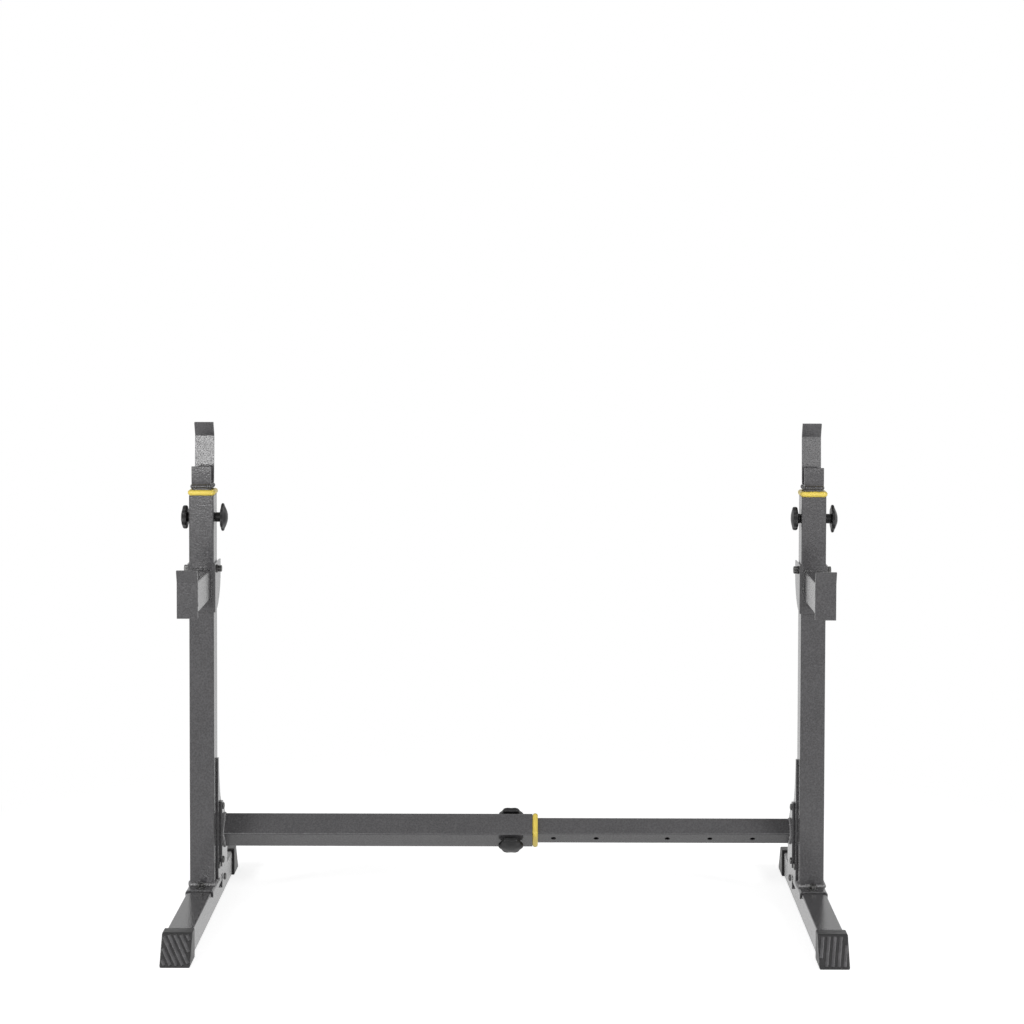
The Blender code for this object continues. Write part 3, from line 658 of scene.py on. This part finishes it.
class RubberLook(bpy.types.PropertyGroup):
    """The boots on the feet."""

    colour: FloatVectorProperty(
        name="Colour", description="Colour of the rubber", subtype="COLOR", default=(0.013, 0.0127, 0.0133)
    )
    # Lighter than the rubber: the ribs are painted lighter so that the grooves between them read as shaded.
    # This is painted shade for the deep grooves, not wear.
    rib_painted_light_colour: FloatVectorProperty(
        name="Rib Colour",
        description="Colour of the scuffed ribs",
        subtype="COLOR",
        default=(0.058, 0.0565, 0.059),
    )
    roughness: FloatProperty(
        name="Roughness", description="Roughness of the rubber", subtype="FACTOR", default=0.38
    )
    rib_pitch: FloatProperty(name="Rib Pitch", description="From rib to rib", unit="LENGTH", default=0.0115)
    rib_width: FloatProperty(name="Rib Width", description="Width of a rib", unit="LENGTH", default=0.0062)
    rib_height: FloatProperty(
        name="Rib Height", description="How far a rib stands out", unit="LENGTH", default=0.0022
    )
    left_slant: FloatProperty(
        name="Left Slant", description="Sideways run of the left boots' ribs", unit="LENGTH", default=0.030
    )
    right_slant: FloatProperty(
        name="Right Slant", description="Sideways run of the right boots' ribs", unit="LENGTH", default=-0.008
    )


class KnobLook(bpy.types.PropertyGroup):
    """The lobed clamp knobs."""

    lobes: IntProperty(name="Lobes", description="Lobes round a knob", default=6, min=3)
    hollow: FloatProperty(
        name="Hollow",
        description="Depth of the hollows as a share of the radius",
        subtype="FACTOR",
        default=0.12,
    )
    steps: IntProperty(name="Steps", description="Points round a knob", default=96, min=24)


class WeldLook(bpy.types.PropertyGroup):
    """The weld beads; those on the uprights and bar are coloured lighter than the stand's paint, a painted
    highlight for the glints on their lumps.
    """

    # Lighter than the stand's paint: a painted highlight for the glints on the beads' lumps.
    colour: FloatVectorProperty(
        name="Colour", description="Colour of the painted weld", subtype="COLOR", default=(0.17, 0.167, 0.17)
    )
    bead: FloatProperty(
        name="Bead Radius", description="Radius of a weld bead", unit="LENGTH", default=0.0032
    )
    pitch: FloatProperty(
        name="Ripple Pitch", description="Distance between ripples", unit="LENGTH", default=0.0024
    )
    unevenness: FloatProperty(
        name="Unevenness", description="How much the ripples differ in size", subtype="FACTOR", default=0.38
    )


class BoltLook(bpy.types.PropertyGroup):
    """The zinc-plated bolts."""

    colour: FloatVectorProperty(
        name="Colour", description="Colour of the steel", subtype="COLOR", default=(0.11, 0.109, 0.107)
    )
    roughness: FloatProperty(
        name="Roughness", description="Roughness of the steel", subtype="FACTOR", default=0.28
    )
    flats: FloatProperty(name="Across Flats", description="Width of a hex head", unit="LENGTH", default=0.013)
    washer: FloatProperty(name="Washer", description="Diameter of a washer", unit="LENGTH", default=0.017)
    washer_height: FloatProperty(
        name="Washer Height", description="Thickness of a washer", unit="LENGTH", default=0.0016
    )
    shank: FloatProperty(name="Shank", description="Diameter of a shank", unit="LENGTH", default=0.008)


class StudioLook(bpy.types.PropertyGroup):
    """The camera, lamps and backdrop."""

    camera: FloatVectorProperty(
        name="Camera",
        description="Place of the camera",
        subtype="TRANSLATION",
        unit="LENGTH",
        default=(0.0412, -4.4336, 1.3350),
    )
    pitch: FloatProperty(
        name="Pitch",
        description="Tilt of the camera below the horizon",
        subtype="ANGLE",
        default=math.radians(2.0),
    )
    roll: FloatProperty(
        name="Roll", description="Roll of the camera", subtype="ANGLE", default=math.radians(0.155)
    )
    lens: FloatProperty(name="Lens", description="Focal length", subtype="DISTANCE_CAMERA", default=77.412)
    shift: FloatVectorProperty(name="Shift", description="Lens shift", size=2, default=(-0.01768, -0.17333))
    floor_glow: FloatProperty(
        name="Floor Glow", description="What is added to the floor as the camera sees it", default=0.72
    )
    ambient: FloatProperty(name="Ambient", description="Light from all round", default=0.38)
    lamps: FloatProperty(name="Lamps", description="Strength of the lamps, as a share", default=1.0)


SETTINGS = {
    "stand_paint": PaintLook,
    "stand_plastic": PlasticLook,
    "stand_rubber": RubberLook,
    "stand_knobs": KnobLook,
    "stand_welds": WeldLook,
    "stand_bolts": BoltLook,
    "stand_studio": StudioLook,
}


def grey_paint(scene):
    name = "hammertone_paint"
    look = scene.stand_paint
    return bpy.data.materials.get(name) or hammertone_paint(look, name, look.colour)


def black_plastic(scene):
    look = scene.stand_plastic
    return bpy.data.materials.get("knob_plastic") or moulded_plastic(
        "knob_plastic", look.knob_colour, look.roughness, look.grain, 0.00012, 0.28
    )


def zinc(scene):
    return bpy.data.materials.get("dull_zinc") or dull_zinc(scene.stand_bolts)


# Pieces


class STAND_OT_steelwork(bpy.types.Operator):
    """Paint the feet, uprights, posts, arms, cross bar and their plates"""

    bl_idname = "squat_stand.steelwork"
    bl_label = "Steelwork"

    def execute(self, context):
        scene = context.scene
        paint = grey_paint(scene)
        for node in named("_tube", "saddle", "arm_bracket", "_plate", "barbell_hook"):
            finished(node, scene.stand_paint.edge, paint)
        return {"FINISHED"}


class STAND_OT_guides(bpy.types.Operator):
    """Mould the yellow guides in the tube mouths and the glides on the hidden tube ends"""

    bl_idname = "squat_stand.guides"
    bl_label = "Guides and Glides"

    def execute(self, context):
        scene = context.scene
        look = scene.stand_plastic
        yellow = moulded_plastic("guide_plastic", look.guide_colour, look.roughness, look.grain, 0.0001)
        for node in named("_guide"):
            show(f"{node}_finished", guide_mesh(node), yellow, body_of(node), [node])
        for node in named("_glide"):
            finished(node, GLIDE_EDGE, black_plastic(scene))
        return {"FINISHED"}


def guide_mesh(node):
    """A guide: a half-round bead on the tube's mouth, and a sleeve down its bore."""
    top = GAP + GUIDE_LIP_HEIGHT
    loops = [
        square_loop(GUIDE_OPENING, GUIDE_CORNER * 0.6, -GUIDE_DEPTH),
        square_loop(GUIDE_SLEEVE, GUIDE_CORNER, -GUIDE_DEPTH),
        square_loop(GUIDE_SLEEVE, GUIDE_CORNER, GAP),
    ]
    foot = GUIDE_SLEEVE + GAP
    for step in range(13):
        turn = math.pi * (step / 12 - 0.5)
        half = foot + (GUIDE_LIP - foot) * math.cos(turn)
        height = GAP + GUIDE_LIP_HEIGHT / 2 * (1 + math.sin(turn))
        loops.append(square_loop(half, half - GUIDE_SLEEVE + GUIDE_BEND, height))
    loops.append(square_loop(GUIDE_OPENING + GUIDE_CHAMFER, GUIDE_CORNER, top))
    loops.append(square_loop(GUIDE_OPENING, GUIDE_CORNER * 0.6, top - GUIDE_CHAMFER))
    mesh = lofted(loops)
    low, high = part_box(node)
    place = (low + high) / 2
    if node.startswith("bar"):
        place.x = high.x - top
        stood = Matrix.Rotation(math.radians(45), 4, "X") @ Matrix.Rotation(math.radians(90), 4, "Y")
    else:
        place.z = high.z - top
        stood = Matrix.Identity(4)
    mesh.transform(Matrix.Translation(place) @ stood)
    return mesh


class STAND_OT_boots(bpy.types.Operator):
    """Mould the ribbed rubber boots"""

    bl_idname = "squat_stand.boots"
    bl_label = "Boots"

    def execute(self, context):
        scene = context.scene
        look = scene.stand_rubber
        rubber = dusty_rubber(look, "boot_rubber", look.colour)
        # The ribs get a lighter rubber than the boot, so that the grooves between them look shaded: painted
        # shade.
        painted_lighter = dusty_rubber(look, "scuffed_rubber", look.rib_painted_light_colour)
        tree = rib_tree()
        for side in SIDES:
            for end, way in (("front", -1), ("rear", 1)):
                node = f"{side}_boot_{end}"
                finished(node, BOOT_EDGE, rubber)
                paths = rib_paths(node, way, look, getattr(look, f"{side}_slant"))
                values = {"Rib Width": look.rib_width, "Rib Height": look.rib_height, "Material": painted_lighter}
                show(f"{node}_ribs", joined([baked(paths, tree, values)]), painted_lighter, body_of(node))
        return {"FINISHED"}


def rib_paths(node, way, look, slant):
    """The middle lines of the ribs on a boot's sloping end face, cut off at its borders."""
    low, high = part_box(node)
    bottom = low.z + RIB_MARGIN
    top = high.z - RIB_MARGIN
    slope = BOOT_SLOPE / (high.z - low.z)
    tip = high.y if way > 0 else low.y
    middle = (low.x + high.x) / 2
    reach = (high.x - low.x) / 2 - look.rib_width / 2 - SIDE_MARGIN
    count = math.ceil((2 * reach + abs(slant)) / look.rib_pitch) | 1  # odd, so that one is in the middle
    paths = []
    for rib in range(count):
        centre = (rib - (count - 1) / 2) * look.rib_pitch
        ends = []
        for part in (0.0, 1.0):
            across = max(-reach, min(reach, centre + slant * (0.5 - part)))
            ends.append(part if abs(slant) < TINY else 0.5 - (across - centre) / slant)
        if ends[1] - ends[0] > SHORTEST_RIB:
            points = []
            for part in ends:
                z = bottom + (top - bottom) * part
                points.append((middle + centre + slant * (0.5 - part), tip - way * slope * (z - low.z), z))
            paths.append(points)
    normal = Vector((0, way, slope)).normalized()
    return path_mesh(paths, [tuple(normal)] * len(paths))


class STAND_OT_knobs(bpy.types.Operator):
    """Mould the lobed clamp knobs and cut their studs"""

    bl_idname = "squat_stand.knobs"
    bl_label = "Knobs"

    def execute(self, context):
        scene = context.scene
        look = scene.stand_knobs
        for node in named("_knob_head"):
            mesh = knob_mesh(node, look)
            show(f"{node}_finished", mesh, black_plastic(scene), body_of(node), [node])
        for node in named("_knob_stud"):
            finished(node, STUD_EDGE, zinc(scene))
        return {"FINISHED"}


def knob_axis(node):
    """The outward direction of a knob and where its stud leaves the tube."""
    for joint in frame["joints"]:
        if joint["child"] == body_of(node):
            return Vector(joint["axis"]).normalized(), Vector(joint["pos_m"])
    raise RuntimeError(f"no joint turns {node}")


def lobed_ring(radius, height, look, share):
    """A ring with the knob's lobes, whose hollows are deepest where the share is 1."""

    def ring(angle):
        dip = look.hollow * share * (1 + math.cos(look.lobes * angle)) / 2
        return radius * (1 - dip), height

    return ring


def knob_mesh(node, look):
    """A knob: a round hub, a lobed grip with rolled edges and a low crown."""
    axis, seat = knob_axis(node)
    radius, hub, rim, crown = next(sizes for kind, sizes in KNOBS.items() if kind in node)
    roll = min(rim / 2, KNOB_ROLL)
    rings = [
        round_ring(STUD_HOLE, KNOB_LIFT),
        round_ring(HUB_RADIUS - HUB_EDGE, KNOB_LIFT),
        round_ring(HUB_RADIUS, KNOB_LIFT + HUB_EDGE),
        round_ring(HUB_RADIUS, hub - HUB_FLARE_HEIGHT),
        round_ring(HUB_RADIUS + HUB_FLARE, hub),
        lobed_ring(radius - roll, hub, look, 1.0),
    ]
    top = hub + rim
    for step in range(1, 9):
        turn = math.pi * step / 8
        centre = hub + roll if turn <= math.pi / 2 else top - roll
        height = centre - roll * math.cos(turn)
        rings.append(lobed_ring(radius - roll + roll * math.sin(turn), height, look, 1.0))
    for step in range(1, 8):
        part = step / 8
        reach = (radius - roll) * (1 - part) ** 0.8
        height = top + crown * math.sin(part * math.pi / 2) ** 1.2
        rings.append(lobed_ring(reach, height, look, 1 - part))
    rings.append(round_ring(0.0008, top + crown))
    mesh = turned(rings, look.steps)
    spin = math.pi / look.lobes if node.startswith("bar") else 0.0
    stood = axis.to_track_quat("Z", "Y").to_matrix().to_4x4() @ Matrix.Rotation(spin, 4, "Z")
    mesh.transform(Matrix.Translation(seat) @ stood)
    return mesh


class STAND_OT_bolts(bpy.types.Operator):
    """Fit the hex bolts with their washers and the low-headed bolts"""

    bl_idname = "squat_stand.bolts"
    bl_label = "Bolts"

    def execute(self, context):
        scene = context.scene
        look = scene.stand_bolts
        tree = bolt_set_tree()
        for side, way in SIDES.items():
            for kind in ("plate", "gusset", "bar_end"):
                nodes = bolt_nodes(side, kind)
                if kind == "plate":
                    places, axes, shank = bolt_places(nodes, way, HEX_HEAD + look.washer_height + GAP)
                    bolt = hex_bolt(look, shank)
                else:
                    places, axes, shank = bolt_places(nodes, way, LOW_HEAD)
                    bolt = low_bolt(look, shank)
                holder = bpy.data.objects.new("bolt", bolt)
                values = {"Bolt": holder, "Seed": 4 + way, "Material": zinc(scene)}
                mesh = baked(path_mesh([[place] for place in places], axes), tree, values)
                bpy.data.objects.remove(holder)
                show(f"{side}_{kind}_bolts", mesh, zinc(scene), f"{side}_stand", nodes)
        return {"FINISHED"}


def bolt_nodes(side, kind):
    """The bolts of one side and kind; those through saddles and brackets are of the plate kind."""
    if kind == "plate":
        bolts = named("bolt_front", "bolt_rear", "bolt_inner", "bolt_outer")
        return [node for node in bolts if node.startswith(side)]
    return [node for node in sorted(frame["nodes"]) if node.startswith(f"{side}_{kind}_bolt")]


def bolt_places(nodes, way, head_height):
    """Where each bolt's washer rests, the way its head points, and the length of the shank."""
    places = []
    axes = []
    shank = 0.0
    for node in nodes:
        low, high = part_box(node)
        axis = Vector((0, 0, 1)) if "saddle" in node else Vector((way if "outer" in node else -way, 0, 0))
        middle = (low + high) / 2
        half = abs(axis.dot(high - low)) / 2
        places.append(tuple(middle + axis * (half - head_height)))
        axes.append(tuple(axis))
        shank = 2 * half - head_height
    return places, axes, shank


def hex_bolt(look, shank):
    """A washer and a chamfered hex head on z 0, with a threaded shank below."""
    outer = look.washer / 2
    washer_top = GAP + look.washer_height
    top = washer_top + HEX_HEAD
    apothem = look.flats / 2
    face = apothem * 0.93

    def corner(angle):
        return apothem / math.cos((angle % (math.pi / 3)) - math.pi / 6)

    def hexed(angle):
        return corner(angle), washer_top + HEAD_EDGE

    def chamfered(angle):
        return corner(angle), top - (corner(angle) - face) * math.tan(math.radians(30))

    washer = [
        round_ring(outer - HEAD_EDGE, GAP),
        round_ring(outer, GAP + HEAD_EDGE),
        round_ring(outer, washer_top - HEAD_EDGE),
        round_ring(outer - HEAD_EDGE, washer_top),
        round_ring(apothem * 0.5, washer_top),
    ]
    head = [
        round_ring(apothem * 0.96, washer_top - GAP),
        hexed,
        chamfered,
        round_ring(face, top),
        round_ring(face * 0.75, top),
        round_ring(face * 0.7, top - HEAD_EDGE),
        round_ring(face * 0.2, top - HEAD_EDGE),
    ]
    return joined([turned(washer, 48), turned(head, 48), threaded(look, shank, washer_top)])


def low_bolt(look, shank):
    """A low domed head on z 0, with a threaded shank below."""
    rim = GAP + LOW_HEAD_RIM
    rings = [
        round_ring(LOW_HEAD_RADIUS - HEAD_EDGE, GAP),
        round_ring(LOW_HEAD_RADIUS, GAP + HEAD_EDGE),
        round_ring(LOW_HEAD_RADIUS, rim),
    ]
    for step in range(1, 8):
        turn = math.pi / 2 * step / 8
        rings.append(round_ring(LOW_HEAD_RADIUS * math.cos(turn), rim + (LOW_HEAD - rim) * math.sin(turn)))
    return joined([turned(rings, 40), threaded(look, shank, GAP + SHANK_RUN)])


def threaded(look, shank, top):
    """A threaded shank that hangs below z 0 and runs up into its head."""
    radius = look.shank / 2
    rings = [round_ring(radius * SHANK_TIP, -shank)]
    turns = max(1, round(shank / THREAD_PITCH))
    pitch = shank / turns
    for turn in range(turns):
        start = turn * pitch - shank
        rings.append(round_ring(radius * THREAD_ROOT, start + pitch * 0.25))
        rings.append(round_ring(radius, start + pitch * 0.75))
    rings.append(round_ring(radius, top))
    return turned(rings, 20)


class STAND_OT_welds(bpy.types.Operator):
    """Lay the weld beads where plates and tubes meet"""

    bl_idname = "squat_stand.welds"
    bl_label = "Welds"

    def execute(self, context):
        scene = context.scene
        look = scene.stand_welds
        tree = weld_bead_tree()
        # The upright and bar beads are painted lighter than the stand as a painted highlight; the arm and
        # hook beads keep the stand's paint.
        highlight_painted_welds = hammertone_paint(scene.stand_paint, "weld_paint", look.colour)
        for number, (name, body, path, scale) in enumerate(weld_lines()):
            paint = grey_paint(scene) if "arm" in name or "hook" in name else highlight_painted_welds
            values = {
                "Bead Radius": look.bead * scale,
                "Ripple Pitch": look.pitch * scale,
                "Unevenness": look.unevenness,
                "Seed": number,
                "Material": paint,
            }
            show(name, baked(path_mesh([path]), tree, values), paint, body)
        return {"FINISHED"}


def ring_path(centre, across, up, half_across, half_up):
    """A closed path round a square tube's outside, with rounded corners."""
    loop = rounded_loop(half_across, half_up, WELD_CORNER, 4)
    points = [centre + across * right + up * rise for right, rise in loop]
    return points + points[:1]


def weld_lines():
    """Name, body, path and relative bead size of each weld."""
    x_axis, y_axis, z_axis = (Vector(axis) for axis in ((1, 0, 0), (0, 1, 0), (0, 0, 1)))
    rising = (y_axis + z_axis).normalized()
    leaning = (z_axis - y_axis).normalized()
    lines = []
    for side in SIDES:
        stand = f"{side}_stand"
        low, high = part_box(f"{side}_upright_tube")
        foot = (low + high) / 2
        foot.z = low.z
        half = (high.x - low.x) / 2
        lines.append((f"{side}_upright_weld", stand, ring_path(foot, x_axis, y_axis, half, half), 1.35))
        low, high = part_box(f"{side}_arm_tube")
        middle = (low + high) / 2
        rear = Vector((middle.x, high.y, middle.z))
        front = Vector((middle.x, low.y, middle.z))
        wide = (high.x - low.x) / 2
        tall = (high.z - low.z) / 2
        lines.append((f"{side}_arm_weld", stand, ring_path(rear, x_axis, z_axis, wide, tall), 0.9))
        path = ring_path(front, x_axis, z_axis, wide - ARM_END_INSET, tall)
        lines.append((f"{side}_arm_end_weld", stand, path, 0.55))
        low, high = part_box(f"{side}_post_tube")
        top = (low + high) / 2
        top.z = high.z
        half = (high.x - low.x) / 2 - HOOK_INSET
        path = ring_path(top, x_axis, y_axis, half, half)
        lines.append((f"{side}_hook_weld", f"{side}_post", path, 1.25))
        tube, width = ("bar_outer_tube", OUTER_TUBE) if side == "left" else ("bar_inner_tube", INNER_TUBE)
        low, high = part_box(tube)
        end = (low + high) / 2
        end.x = low.x if side == "left" else high.x
        path = ring_path(end, rising, leaning, width / 2, width / 2)
        lines.append((f"{side}_bar_weld", stand, path, 1.05))
    return lines


# Studio


def backdrop_material(look):
    """White paper that the camera and every mirror see as pure white, but for the object's shadow."""
    material, graph = new_material("studio_paper")
    place = object_place(graph)
    fibre = graph.noise(place, 0.004)
    colour = graph.mix(fibre, (0.80, 0.80, 0.80, 1.0), (0.82, 0.82, 0.82, 1.0))
    paper = graph.node("ShaderNodeBsdfDiffuse", None, {"Color": colour})
    glow = graph.node("ShaderNodeEmission", None, {"Strength": look.floor_glow})
    near = graph.node("ShaderNodeAddShader", None, {0: paper, 1: glow})
    white = graph.node("ShaderNodeEmission", None, {"Strength": 1.0})
    distance = graph.node("ShaderNodeVectorMath", {"operation": "LENGTH"}, {0: place}, "Value")
    far = distance.between(SHADOW_NEAR, SHADOW_FAR)
    seen = graph.node("ShaderNodeMixShader", None, {0: far, 1: near, 2: white})
    graph.finish(graph.node("ShaderNodeMixShader", None, {0: seen_directly(graph), 1: paper, 2: seen}))
    return material


def seen_directly(graph):
    """1 for rays from the camera and for those mirrored or let through by the object."""
    rays = [
        graph.node("ShaderNodeLightPath", output=name)
        for name in ("Is Camera Ray", "Is Glossy Ray", "Is Transmission Ray")
    ]
    either = graph.node("ShaderNodeMath", {"operation": "MAXIMUM"}, {0: rays[0], 1: rays[1]})
    return graph.node("ShaderNodeMath", {"operation": "MAXIMUM"}, {0: either, 1: rays[2]})


def light_world(look):
    """Soft light that fades upwards, and a white surround for the camera and for mirrored rays."""
    world = bpy.data.worlds.new("studio_surround")
    world.use_nodes = True
    world.node_tree.nodes.clear()
    graph = Graph(world.node_tree)
    way = graph.node("ShaderNodeTexCoord", output="Generated")
    rise = graph.node("ShaderNodeSeparateXYZ", None, {0: way}, "Z").between(0.0, 1.0)
    level = (1 - rise * SKY_FADE) * look.ambient
    soft = graph.node("ShaderNodeBackground", None, {"Color": (1, 1, 1, 1), "Strength": level})
    white = graph.node("ShaderNodeBackground", None, {"Color": (1, 1, 1, 1), "Strength": 1.0})
    surround = graph.node("ShaderNodeMixShader", None, {0: seen_directly(graph), 1: soft, 2: white})
    graph.finish(surround, "ShaderNodeOutputWorld")
    return world


def add_lamp(name, place, aim, size, power):
    """A square soft lamp that faces its aim."""
    data = bpy.data.lights.new(name, "AREA")
    data.shape = "RECTANGLE"
    data.size, data.size_y = size
    data.energy = power
    lamp = bpy.data.objects.new(name, data)
    lamp.location = place
    lamp.rotation_euler = (Vector(aim) - Vector(place)).to_track_quat("-Z", "Y").to_euler()
    lamp.visible_camera = False
    bpy.context.scene.collection.objects.link(lamp)


class STAND_OT_stage(bpy.types.Operator):
    """Lay the white floor, place the lamps and the camera"""

    bl_idname = "squat_stand.stage"
    bl_label = "Stage"

    def execute(self, context):
        scene = context.scene
        look = scene.stand_studio
        floor = bpy.data.meshes.new("studio_floor")
        corners = [(-1, -1), (1, -1), (1, 1), (-1, 1)]
        points = [(x * FLOOR_REACH, y * FLOOR_REACH, -FLOOR_GAP) for x, y in corners]
        floor.from_pydata(points, [], [(0, 1, 2, 3)])
        floor.materials.append(backdrop_material(look))
        ground = bpy.data.objects.new("studio_floor", floor)
        scene.collection.objects.link(ground)
        scene.world = light_world(look)
        for name, (place, aim, size, power) in LAMPS.items():
            add_lamp(name, place, aim, size, power * look.lamps)
        place_camera(scene, look)
        scene.view_settings.view_transform = "Standard"
        return {"FINISHED"}


def place_camera(scene, look):
    data = bpy.data.cameras.new("photo_camera")
    data.lens = look.lens
    data.sensor_width = 36.0
    data.shift_x, data.shift_y = look.shift
    data.clip_start = 0.1
    data.clip_end = 100.0
    camera = bpy.data.objects.new("photo_camera", data)
    level = Matrix.Rotation(math.pi / 2 - look.pitch, 4, "X") @ Matrix.Rotation(look.roll, 4, "Z")
    camera.matrix_world = Matrix.Translation(look.camera) @ level
    scene.collection.objects.link(camera)
    scene.camera = camera


class STAND_PT_finish(bpy.types.Panel):
    """Buttons and settings of the finish, in the sidebar"""

    bl_label = "Squat Stand"
    bl_idname = "STAND_PT_finish"
    bl_space_type = "VIEW_3D"
    bl_region_type = "UI"
    bl_category = "Squat Stand"

    def draw(self, context):
        layout = self.layout
        for step in STEPS:
            layout.operator(step.bl_idname)
        for name, group in SETTINGS.items():
            box = layout.box()
            box.label(text=group.__doc__)
            for field in group.__annotations__:
                box.prop(getattr(context.scene, name), field)


STEPS = [
    STAND_OT_steelwork,
    STAND_OT_guides,
    STAND_OT_boots,
    STAND_OT_knobs,
    STAND_OT_bolts,
    STAND_OT_welds,
    STAND_OT_stage,
]


def register():
    for group in SETTINGS.values():
        bpy.utils.register_class(group)
    for step in STEPS:
        bpy.utils.register_class(step)
    bpy.utils.register_class(STAND_PT_finish)
    for name, group in SETTINGS.items():
        setattr(bpy.types.Scene, name, PointerProperty(type=group))


def unregister():
    for name in SETTINGS:
        delattr(bpy.types.Scene, name)
    bpy.utils.unregister_class(STAND_PT_finish)
    for step in reversed(STEPS):
        bpy.utils.unregister_class(step)
    for group in SETTINGS.values():
        bpy.utils.unregister_class(group)


def main():
    register()
    for step in STEPS:
        group, name = step.bl_idname.split(".")
        getattr(getattr(bpy.ops, group), name)()


if __name__ == "__main__":
    main()
